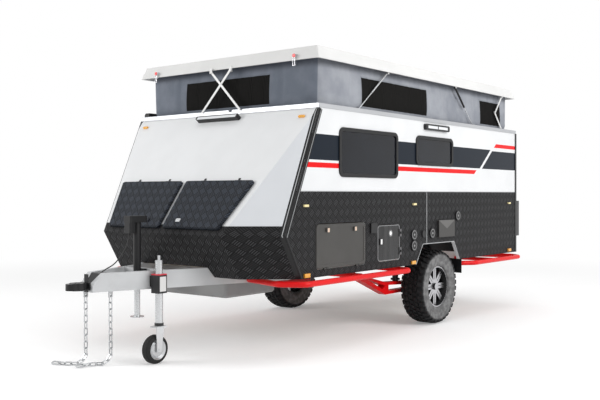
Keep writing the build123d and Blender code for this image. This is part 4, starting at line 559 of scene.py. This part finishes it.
# Mesh panels of the canvas, with the hems round them
CANVAS_MIDDLE_X = -0.699
CANVAS_END = 1.925           # from its middle to its front and rear faces
MESH_ZS = (2.215, 2.485)
MESH_END_Y = 0.54
MESH_SIDE_XS = ((-0.62, 0.60), (-2.40, -1.87))
HEM_W = 0.015
TOP_BAND_ZS = (2.50, 2.56)


def canvas_panels(made, end, grow):
    """1 on the mesh panels grown on all sides; end is 1 on the front and rear faces."""
    tall = inside(made, made.z, MESH_ZS[0] - grow, MESH_ZS[1] + grow)
    ends = made.math("MULTIPLY", end, inside(made, made.math("ABSOLUTE", made.y), -1.0,
                                             MESH_END_Y + grow))
    long, short = (inside(made, made.x, low - grow, high + grow) for low, high in MESH_SIDE_XS)
    flank = made.math("SUBTRACT", 1.0, end)
    sides = made.math("MULTIPLY", flank, made.math("ADD", long, short))
    return made.math("MULTIPLY", tall, made.math("ADD", ends, sides), clamp=True)


def canvas_cloth():
    """Grey coated canvas with black mesh panels, hems round them and a band that darkens towards the
    top.
    """
    made = Shader("canvas_cloth")
    weave_u = made.math("SINE", made.math("MULTIPLY", made.math("ADD", made.x, made.y), 1900.0))
    weave_v = made.math("SINE", made.math("MULTIPLY", made.z, 1900.0))
    weave = made.math("MULTIPLY", weave_u, weave_v)
    cloud = made.noise(4.0, 5.0)
    along = made.math("ABSOLUTE", made.math("SUBTRACT", made.x, CANVAS_MIDDLE_X))
    end = made.ramp(along, CANVAS_END, CANVAS_END + 0.005)
    deep = made.mix(end, (0.25, 0.265, 0.30), (0.125, 0.145, 0.180))
    light = made.mix(end, (0.35, 0.365, 0.40), (0.175, 0.195, 0.235))
    gray = made.mix(made.ramp(cloud, 0.3, 0.7), deep, light)
    # The canvas is drawn darker towards its top
    gray = made.mix(made.math("MULTIPLY", made.ramp(made.z, *TOP_BAND_ZS), 0.55), gray,
                    (0.05, 0.055, 0.07))
    mesh = canvas_panels(made, end, 0.0)
    hem = canvas_panels(made, end, HEM_W)
    stripes = made.math("SINE", made.math("MULTIPLY", made.math("ADD", made.x, made.y), 520.0))
    black = made.mix(made.ramp(stripes, -0.6, 0.6), (0.012, 0.012, 0.012), (0.022, 0.021, 0.020))
    gray = made.mix(made.math("MULTIPLY", hem, 0.25), gray, (0.12, 0.13, 0.15))
    made.set(color=made.mix(mesh, gray, black), rough=made.ramp(mesh, 0.0, 1.0, 0.62, 0.9),
             specular=made.ramp(mesh, 0.0, 1.0, 0.3, 0.0))
    made.bump(made.math("ADD", weave, made.math("MULTIPLY", hem, 2.0)), 0.0005, 0.5)
    return made


def tinted_glass():
    made = Shader("tinted_glass")
    streak = made.noise(1.2, 2.0)
    made.set(color=made.mix(made.ramp(streak, 0.3, 0.7), (0.004, 0.005, 0.008),
                            (0.012, 0.015, 0.022)), rough=0.05, specular=0.32, alpha=0.86)
    return made


def wood_board():
    made = Shader("laminate_board")
    grain = made.noise(14.0, 5.0, (1.0, 1.0, 0.12))
    made.set(color=made.mix(made.ramp(grain, 0.35, 0.65), (0.36, 0.27, 0.18), (0.50, 0.40, 0.29)),
             rough=0.45)
    made.bump(grain, 0.0004, 0.4)
    return made


SIDEWALL_RS = (0.335, 0.362)   # between which the dusty sidewall turns into tread


def tyre_rubber(name, axle, centre):
    """Black rubber with dusty sidewalls; axle is the direction of the wheel's axis."""
    made = Shader(name)
    offset = made.node("ShaderNodeVectorMath", operation="SUBTRACT")
    made.link(made.coords, offset.inputs[0])
    offset.inputs[1].default_value = centre
    flat = made.node("ShaderNodeVectorMath", operation="MULTIPLY")
    made.link(offset.outputs[0], flat.inputs[0])
    flat.inputs[1].default_value = tuple(1.0 - abs(part) for part in axle)
    radius = made.node("ShaderNodeVectorMath", operation="LENGTH")
    made.link(flat.outputs[0], radius.inputs[0])
    dust = made.noise(22.0, 5.0)
    wall = made.ramp(radius.outputs["Value"], *SIDEWALL_RS, 1.0, 0.0)
    dusty = made.mix(made.ramp(dust, 0.35, 0.7), (0.120, 0.120, 0.121), (0.225, 0.225, 0.226))
    tread = made.mix(made.ramp(dust, 0.4, 0.7), (0.009, 0.009, 0.010), (0.020, 0.020, 0.021))
    made.set(color=made.mix(wall, tread, dusty), rough=0.72, specular=0.25)
    made.bump(made.noise(240.0, 2.0), 0.0005, 0.6)
    return made


LOOKS = {
    "wall": striped_wall(),
    "gelcoat": finish_of("gelcoat", WHITE, 0.34, grain=200.0, bump=0.0001, vary=0.03),
    "roof": finish_of("roof_gelcoat", (0.74, 0.74, 0.73), 0.38, grain=200.0, bump=0.0001,
                      vary=0.05),
    "checker_side": checker("checker_side", "x", bare=plate_edging),
    "checker_front": checker("checker_front", "y", rise=1.157),
    "checker_lid": checker("checker_lid", "y", (0.010, 0.012, 0.016), 0.40, 1.238, lid_latch),
    "nose_trim": nose_trim(),
    "hatch": hatch_satin(),
    "service": service_black(),
    "caps": cap_plastic(),
    "clamp": clamp_black(),
    "jockey_tyre": jockey_tyre(),
    "fork": fork_paint(),
    # Painted shade: a darker, cooler copy of the gelcoat for the nose's outer slopes
    "nose_painted_shade": finish_of("gelcoat_painted_shade", (0.70, 0.72, 0.75), 0.34, grain=200.0, bump=0.0001,
                           vary=0.03),
    "black_plastic": finish_of("black_plastic", (0.011, 0.011, 0.012), 0.44, grain=420.0,
                               bump=0.0005, vary=0.2, specular=0.3),
    "black_steel": finish_of("black_steel", BLACK_PAINT, 0.36, grain=90.0, vary=0.2,
                             specular=0.3),
    "holder": finish_of("holder_grey", (0.045, 0.045, 0.047), 0.42, grain=90.0, vary=0.2),
    "galvanised": finish_of("galvanised", (0.60, 0.61, 0.62), 0.40, metal=0.15, grain=25.0,
                            bump=0.0003, vary=0.12),
    "zinc": finish_of("zinc", (0.60, 0.61, 0.62), 0.28, metal=0.9, grain=70.0, vary=0.12),
    "silver": finish_of("brushed_silver", (0.52, 0.53, 0.55), 0.34, metal=0.6, grain=90.0,
                        stretch=(0.05, 1.0, 1.0)),
    "red": finish_of("red_powder_coat", RED, 0.32, grain=300.0, bump=0.0002, vary=0.08,
                     specular=0.2),
    "white_paint": finish_of("white_paint", (0.78, 0.78, 0.77), 0.30, grain=120.0),
    "grey_plastic": finish_of("grey_plastic", (0.30, 0.30, 0.30), 0.5, grain=60.0, vary=0.15),
    "rubber": finish_of("rubber", (0.016, 0.016, 0.016), 0.6, grain=200.0, bump=0.0004),
    "lamp": lamp_lens(),
    "work_light": work_light(),
    "latch": latch_metal(),
    "glass": tinted_glass(),
    "board": wood_board(),
    "canvas": canvas_cloth(),
}
NODE_LOOKS = {
    "wall_left": "wall", "wall_right": "wall", "wall_rear": "gelcoat", "nose_shell": "gelcoat",
    "roof_shell": "roof", "roof_vent": "black_plastic", "roof_latches": "latch",
    "roof_rim": "silver", "checker_plates": "checker_side", "corner_trims": "nose_trim",
    "nose_lid_left": "checker_lid", "nose_lid_right": "checker_lid", "locker_door": "hatch",
    "service_door": "service", "kitchen_hatch": "hatch", "entry_door": "gelcoat",
    "hinge_leaves": "black_steel", "window_frames": "black_plastic", "window_glass": "glass",
    "filler_caps": "caps", "lamps": "lamp", "scene_lights": "work_light",
    "awning_cassette": "black_plastic", "chassis_rails": "galvanised",
    "cross_members": "galvanised", "drawbar": "galvanised", "coupling": "black_steel",
    "safety_chains": "zinc", "jack_body": "black_plastic", "jack_leg": "zinc",
    "jockey_clamp": "clamp", "jockey_leg": "zinc", "jockey_fork": "fork",
    "jockey_wheel": "jockey_tyre", "floor": "board", "furniture": "board", "side_bars": "red",
    "trailing_arms": "red", "suspension": "black_steel", "under_tank": "grey_plastic",
    "rear_bumper": "black_steel", "can_holders": "holder", "wheel_wells": "black_plastic",
    "scissor_a": "white_paint", "scissor_b": "white_paint", "strut_front_tube": "zinc",
    "strut_front_rod": "zinc", "strut_rear_tube": "black_steel", "strut_rear_rod": "zinc",
    "brace_upper": "white_paint", "brace_lower": "white_paint",
}


def dress(obj, *looks):
    obj.data.materials.clear()
    for look in looks:
        obj.data.materials.append(look.material)


for name, look in NODE_LOOKS.items():
    dress(nodes[name], LOOKS[look])
for name, outward in (("rim_left", (0, 1, 0)), ("rim_right", (0, -1, 0)),
                      ("spare_rim", (-1, 0, 0))):
    dress(nodes[name], rim_metal(f"alloy_{name}", outward))

# The plates on the slanted nose take the pattern that runs across
plates = nodes["checker_plates"]
dress(plates, LOOKS["checker_side"], LOOKS["checker_front"])
for face in plates.data.polygons:
    if abs(face.normal.y) < 0.8 and face.center.x > 1.6:
        face.material_index = 1

# The outer slopes of the nose are drawn darker and cooler than its middle, as painted shade
nose = nodes["nose_shell"]
dress(nose, LOOKS["gelcoat"], LOOKS["nose_painted_shade"])
for face in nose.data.polygons:
    if abs(face.normal.y) > 0.25 and face.center.z > NOSE_Z:
        face.material_index = 1

# The walls' edges on the slanted nose are covered by the corner trims
for name in ("wall_left", "wall_right"):
    wall = nodes[name]
    dress(wall, LOOKS["wall"], LOOKS["nose_trim"])
    for face in wall.data.polygons:
        if face.normal.x > 0.3 and face.center.x > 1.3:
            face.material_index = 1

# Tyres: rounded carcass with tread blocks, in place of the plain rings
TYRE_R = 0.396
TYRE_W = 0.262
TYRE_BEAD_R = 0.218
TYRE_STEPS = 120
TREAD_FLAT = 0.060           # from the tread's middle to where it curves down
SHOULDER_DROP = 0.020
BLOCK_H = 0.013
BLOCK_LEAN = 0.35            # slant of the blocks' ends, as a share of their length
LUGS = 34
LUG_RS = (0.345, 0.372)
LUG_SHARE = 0.58
BLOCK_ROWS = (
    # distance from the middle, width along the axle, blocks round, share of the pitch, shift
    (0.103, 0.050, 34, 0.60, 0.0),
    (0.052, 0.036, 42, 0.62, 0.5),
    (0.0, 0.038, 42, 0.66, 0.0),
    (-0.052, 0.036, 42, 0.62, 0.5),
    (-0.103, 0.050, 34, 0.60, 0.0),
)


def tread_radius(across):
    """Radius of the carcass at a distance from the middle of the tread."""
    drop = max(abs(across) - TREAD_FLAT, 0.0) / (TYRE_W / 2 - TREAD_FLAT)
    return TYRE_R - BLOCK_H - SHOULDER_DROP * drop ** 2


def raise_block(made, low, high):
    """Top and four sides of a block between two rings of corners."""
    made.faces.new(high)
    for one, two in ((0, 1), (1, 2), (2, 3), (3, 0)):
        made.faces.new((low[one], low[two], high[two], high[one]))


def tyre_mesh():
    """Tyre round the z axis, its outboard side up."""
    made = bmesh.new()
    half = TYRE_W / 2
    outline = [(TYRE_BEAD_R + 0.0005, half - 0.030), (TYRE_BEAD_R + 0.008, half - 0.014),
               (TYRE_BEAD_R + 0.026, half - 0.007), (TYRE_BEAD_R + 0.060, half - 0.002),
               (TYRE_BEAD_R + 0.064, half), (TYRE_BEAD_R + 0.072, half),
               (TYRE_BEAD_R + 0.076, half - 0.002), (0.340, half - 0.002), (0.356, half - 0.006)]
    outline += [(tread_radius(z), z) for z in (0.118, 0.100, 0.060, 0.0)]
    outline += [(r, -z) for r, z in reversed(outline[:-1])]
    rings = []
    for step in range(TYRE_STEPS):
        angle = 2 * pi * step / TYRE_STEPS
        rings.append([made.verts.new((r * cos(angle), r * sin(angle), z)) for r, z in outline])
    for step in range(TYRE_STEPS):
        here, after = rings[step], rings[(step + 1) % TYRE_STEPS]
        for low, high in zip(range(len(outline) - 1), range(1, len(outline))):
            made.faces.new((here[low], after[low], after[high], here[high]))
    for middle, width, count, share, shift in BLOCK_ROWS:
        for block in range(count):
            start = 2 * pi * (block + shift) / count
            span = 2 * pi / count * share
            lean = BLOCK_LEAN * span * (1 if middle >= 0 else -1)
            corners = []
            for end, across in ((0, -1), (1, -1), (1, 1), (0, 1)):
                z = middle + across * width / 2
                angle = start + end * span + lean * across * 0.5
                corners.append((angle, max(min(z, half - 0.003), 0.003 - half)))
            low = [made.verts.new(((tread_radius(z) - 0.004) * cos(a),
                                   (tread_radius(z) - 0.004) * sin(a), z)) for a, z in corners]
            centre_a = sum(a for a, z in corners) / 4
            centre_z = sum(z for a, z in corners) / 4
            high = []
            for a, z in corners:
                a = centre_a + (a - centre_a) * 0.90
                z = centre_z + (z - centre_z) * 0.92
                r = min(tread_radius(z) + BLOCK_H, TYRE_R - 0.0005)
                high.append(made.verts.new((r * cos(a), r * sin(a), z)))
            raise_block(made, low, high)
    inner_r, outer_r = LUG_RS
    for edge in (1, -1):
        for lug in range(LUGS):
            start = 2 * pi * lug / LUGS
            end = start + 2 * pi / LUGS * LUG_SHARE
            z_in, z_out = edge * (half - 0.010), edge * (half - 0.0005)
            ring = [(inner_r, start), (inner_r, end), (outer_r, end), (outer_r, start)]
            low = [made.verts.new((r * cos(a), r * sin(a), z_in)) for r, a in ring]
            high = [made.verts.new((r * cos(a), r * sin(a), z_out)) for r, a in ring]
            raise_block(made, low, high)
    bmesh.ops.recalc_face_normals(made, faces=made.faces)
    mesh = bpy.data.meshes.new("tyre")
    made.to_mesh(mesh)
    made.free()
    return mesh


def add(name, mesh, look, body, smooth=False):
    obj = bpy.data.objects.new(name, mesh)
    scene.collection.objects.link(obj)
    if not mesh.materials:
        mesh.materials.append(look.material)
    if smooth:
        for face in mesh.polygons:
            face.use_smooth = True
    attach(obj, body)
    return obj


for node, body, outward in (("tyre_left", "wheel_left", (0, 1, 0)),
                            ("tyre_right", "wheel_right", (0, -1, 0)),
                            ("spare_tyre", ROOT, (-1, 0, 0))):
    low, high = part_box(node)
    centre = (Vector(low) + Vector(high)) / 2
    mesh = tyre_mesh()
    turn = Vector(outward).to_track_quat("Z", "Y").to_matrix().to_4x4()
    mesh.transform(Matrix.Translation(centre) @ turn)
    rubber = tyre_rubber(f"tyre_rubber_{node}", outward, tuple(centre))
    tread = add(f"tread_{node}", mesh, rubber, body)
    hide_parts(node)
    split = tread.modifiers.new("shade", "EDGE_SPLIT")
    split.split_angle = radians(35)

# Canvas: one cloth ring between the rim and the ceiling, bulged and creased by simulation
low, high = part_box("canvas")
CANVAS_LOW_Z, CANVAS_TOP_Z = low[2], high[2]
CANVAS_CORNER = 0.060
CANVAS_COLUMNS = 560
CANVAS_ROWS = 22
CANVAS_SLACK = 0.012
CANVAS_SWELL = 0.35          # share of the slack that bulges out, and how far that wavers
CANVAS_SINK = 0.3            # share of the slack that the wall hangs in
CANVAS_IN = 0.006
CLOTH_FRAMES = 24


def ring_point(distance, half_x, half_y, corner, middle):
    """Point and outward normal on a rounded rectangle, at a distance along it."""
    straight = (2 * (half_y - corner), 2 * (half_x - corner))
    arc = pi / 2 * corner
    for quarter in range(4):
        side = straight[quarter % 2]
        angle = quarter * pi / 2
        out = Vector((cos(angle), sin(angle), 0))
        along = Vector((-sin(angle), cos(angle), 0))
        reach = half_x if quarter % 2 == 0 else half_y
        if distance <= side:
            return middle + out * reach + along * (distance - side / 2), out
        distance -= side
        if distance <= arc:
            turn = angle + distance / corner
            hub = middle + out * (reach - corner) + along * (side / 2)
            out = Vector((cos(turn), sin(turn), 0))
            return hub + out * corner, out
        distance -= arc
    return ring_point(0.0, half_x, half_y, corner, middle)


half_x = (high[0] - low[0]) / 2 - CANVAS_IN
half_y = (high[1] - low[1]) / 2 - CANVAS_IN
middle = Vector(((high[0] + low[0]) / 2, 0, 0))
perimeter = 4 * (half_x + half_y - 2 * CANVAS_CORNER) + 2 * pi * CANVAS_CORNER
height = CANVAS_TOP_Z - CANVAS_LOW_Z
cloth = bmesh.new()
grid = []
for row in range(CANVAS_ROWS + 1):
    share = row / CANVAS_ROWS
    line = []
    for column in range(CANVAS_COLUMNS):
        distance = perimeter * column / CANVAS_COLUMNS
        point, out = ring_point(distance, half_x, half_y, CANVAS_CORNER, middle)
        waver = sin(distance * 5.1) + 0.6 * sin(distance * 11.7 + 1.3)
        bulge = CANVAS_SLACK * CANVAS_SWELL * sin(pi * share) * (1 + CANVAS_SWELL * waver)
        point = point + out * (bulge - CANVAS_SLACK * CANVAS_SINK * sin(pi * share))
        line.append(cloth.verts.new((point.x, point.y, CANVAS_LOW_Z + height * share)))
    grid.append(line)
for below, above in zip(grid, grid[1:]):
    for column in range(CANVAS_COLUMNS):
        after = (column + 1) % CANVAS_COLUMNS
        cloth.faces.new((below[column], below[after], above[after], above[column]))
canvas_mesh = bpy.data.meshes.new("canvas_wall")
cloth.to_mesh(canvas_mesh)
cloth.free()
canvas_wall = bpy.data.objects.new("canvas_wall", canvas_mesh)
scene.collection.objects.link(canvas_wall)
pins = canvas_wall.vertex_groups.new(name="pins")
edge_verts = list(range(CANVAS_COLUMNS)) + list(range(CANVAS_ROWS * CANVAS_COLUMNS,
                                                      (CANVAS_ROWS + 1) * CANVAS_COLUMNS))
pins.add(edge_verts, 1.0, "REPLACE")
sim = canvas_wall.modifiers.new("cloth", "CLOTH")
sim.settings.quality = 4
sim.settings.mass = 0.4
sim.settings.tension_stiffness = 25
sim.settings.compression_stiffness = 12
sim.settings.bending_stiffness = 0.8
sim.settings.shrink_min = -0.012
sim.settings.vertex_group_mass = "pins"
sim.settings.use_pressure = True
sim.settings.uniform_pressure_force = 1.2
sim.collision_settings.use_collision = False
sim.point_cache.frame_start = 1
sim.point_cache.frame_end = CLOTH_FRAMES
for step in range(1, CLOTH_FRAMES + 1):
    scene.frame_set(step)
graph = bpy.context.evaluated_depsgraph_get()
settled = bpy.data.meshes.new_from_object(canvas_wall.evaluated_get(graph))
canvas_wall.modifiers.clear()
canvas_wall.data = settled
scene.frame_set(1)
for face in settled.polygons:
    face.use_smooth = True
settled.materials.clear()
settled.materials.append(LOOKS["canvas"].material)
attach(canvas_wall, ROOT)
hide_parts("canvas")
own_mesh(canvas_wall)

# Cable of the jack: the centreline of the CAD cable, in metres
CABLE_R = 0.005
CABLE_POINTS = ((2.4700, 1.0600), (2.4801, 1.0000), (2.5239, 0.9141), (2.5940, 0.8379),
                (2.6521, 0.7981), (2.7179, 0.7761), (2.7680, 0.7490))
curve = bpy.data.curves.new("jack_lead", "CURVE")
curve.dimensions = "3D"
curve.bevel_depth = CABLE_R
curve.bevel_resolution = 4
curve.resolution_u = 8
curve.use_fill_caps = True
line = curve.splines.new("NURBS")
line.points.add(len(CABLE_POINTS) - 1)
for point, (x, z) in zip(line.points, CABLE_POINTS):
    point.co = (x, 0, z, 1)
line.order_u = 3
line.use_endpoint_u = True
jack_lead = bpy.data.objects.new("jack_lead", curve)
scene.collection.objects.link(jack_lead)
curve.materials.append(LOOKS["rubber"].material)
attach(jack_lead, ROOT)
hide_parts("jack_cable")

# Softer edges on the plain pieces
EDGE_WIDTHS = {
    "roof_shell": 0.006, "drawbar": 0.003, "chassis_rails": 0.003, "roof_rim": 0.0015,
    "awning_cassette": 0.004, "coupling": 0.003, "under_tank": 0.004, "rear_bumper": 0.003,
    "entry_door": 0.002, "locker_door": 0.002, "service_door": 0.002, "furniture": 0.0015,
}
for name, width in EDGE_WIDTHS.items():
    bevel = nodes[name].modifiers.new("edges", "BEVEL")
    bevel.width = width
    bevel.segments = 2
    bevel.limit_method = "ANGLE"
    bevel.angle_limit = radians(40)

# Floor, light and camera
floor_mesh = bpy.data.meshes.new("studio_floor")
FLOOR_HALF = 60.0
floor_mesh.from_pydata([(-FLOOR_HALF, -FLOOR_HALF, 0), (FLOOR_HALF, -FLOOR_HALF, 0),
                        (FLOOR_HALF, FLOOR_HALF, 0), (-FLOOR_HALF, FLOOR_HALF, 0)], [],
                       [(0, 1, 2, 3)])
studio_floor = bpy.data.objects.new("studio_floor", floor_mesh)
scene.collection.objects.link(studio_floor)
FLOOR_LIFT = 0.22            # how much of the background's white the floor adds for the camera
FLOOR_FADE = (4.5, 11.0)     # distances between which the floor turns into the background
floor_look = Shader("studio_floor")
floor_look.set(color=floor_look.mix(floor_look.noise(0.4, 2.0), (0.90, 0.90, 0.90),
                                    (0.92, 0.92, 0.92)), rough=0.85, specular=0.0)


def seen_directly(tree):
    """1 for rays from the camera, off metal and through glass."""
    path = tree.nodes.new("ShaderNodeLightPath")
    total = path.outputs["Is Camera Ray"]
    for name in ("Is Glossy Ray", "Is Transmission Ray"):
        both = tree.nodes.new("ShaderNodeMath")
        both.operation = "MAXIMUM"
        tree.links.new(total, both.inputs[0])
        tree.links.new(path.outputs[name], both.inputs[1])
        total = both.outputs[0]
    return total


away = floor_look.node("ShaderNodeVectorMath", operation="LENGTH")
floor_look.link(floor_look.coords, away.inputs[0])
seen = seen_directly(floor_look.tree)
lift = floor_look.node("ShaderNodeEmission")
floor_look.put(lift.inputs["Strength"], floor_look.math("MULTIPLY", seen, FLOOR_LIFT))
lifted = floor_look.node("ShaderNodeAddShader")
floor_look.link(floor_look.bsdf.outputs[0], lifted.inputs[0])
floor_look.link(lift.outputs[0], lifted.inputs[1])
backdrop = floor_look.node("ShaderNodeEmission")
fade = floor_look.node("ShaderNodeMixShader")
floor_look.put(fade.inputs[0], floor_look.math("MULTIPLY", seen, floor_look.ramp(
    away.outputs["Value"], *FLOOR_FADE)))
floor_look.link(lifted.outputs[0], fade.inputs[1])
floor_look.link(backdrop.outputs[0], fade.inputs[2])
floor_look.link(fade.outputs[0], floor_look.output.inputs["Surface"])
floor_mesh.materials.append(floor_look.material)

WORLD_LIGHT = 0.50
world = bpy.data.worlds.new("studio")
scene.world = world
world.use_nodes = True
sky = world.node_tree.nodes["Background"]
sky.inputs["Color"].default_value = (1.0, 1.0, 1.0, 1.0)
strength = world.node_tree.nodes.new("ShaderNodeMapRange")
world.node_tree.links.new(seen_directly(world.node_tree), strength.inputs["Value"])
strength.inputs["To Min"].default_value = WORLD_LIGHT
strength.inputs["To Max"].default_value = 1.0
world.node_tree.links.new(strength.outputs[0], sky.inputs["Strength"])
LIGHTS = (
    # name, place, size, power, aimed at
    ("key", (-1.0, 10.5, 5.5), 6.0, 640.0, (-0.5, 0.5, 1.0)),
    ("front", (10.0, -7.0, 5.0), 5.0, 560.0, (1.5, 0.0, 1.2)),
    ("top", (-1.0, 0.0, 9.0), 8.0, 260.0, (-0.5, 0.0, 1.0)),
)
for name, place, size, power, target in LIGHTS:
    lamp = bpy.data.lights.new(name, "AREA")
    lamp.size = size
    lamp.energy = power
    holder = bpy.data.objects.new(name, lamp)
    scene.collection.objects.link(holder)
    holder.location = place
    holder.rotation_mode = "QUATERNION"
    holder.rotation_quaternion = (Vector(target) - Vector(place)).to_track_quat("-Z", "Y")

CAMERA_PLACE = (7.098, 5.493, 1.388)
CAMERA_YAW = 218.325
CAMERA_PITCH = -0.158
CAMERA_LENS = 50.07
CAMERA_SENSOR = 36.0
CAMERA_SHIFT_Y = -0.0055
yaw, pitch = radians(CAMERA_YAW), radians(CAMERA_PITCH)
ahead = Vector((cos(yaw) * cos(pitch), sin(yaw) * cos(pitch), sin(pitch)))
eye = bpy.data.cameras.new("camera")
eye.lens = CAMERA_LENS
eye.sensor_width = CAMERA_SENSOR
eye.shift_y = CAMERA_SHIFT_Y
camera = bpy.data.objects.new("camera", eye)
scene.collection.objects.link(camera)
camera.location = CAMERA_PLACE
camera.rotation_mode = "QUATERNION"
camera.rotation_quaternion = ahead.to_track_quat("-Z", "Y")
scene.camera = camera
scene.view_settings.view_transform = "Standard"
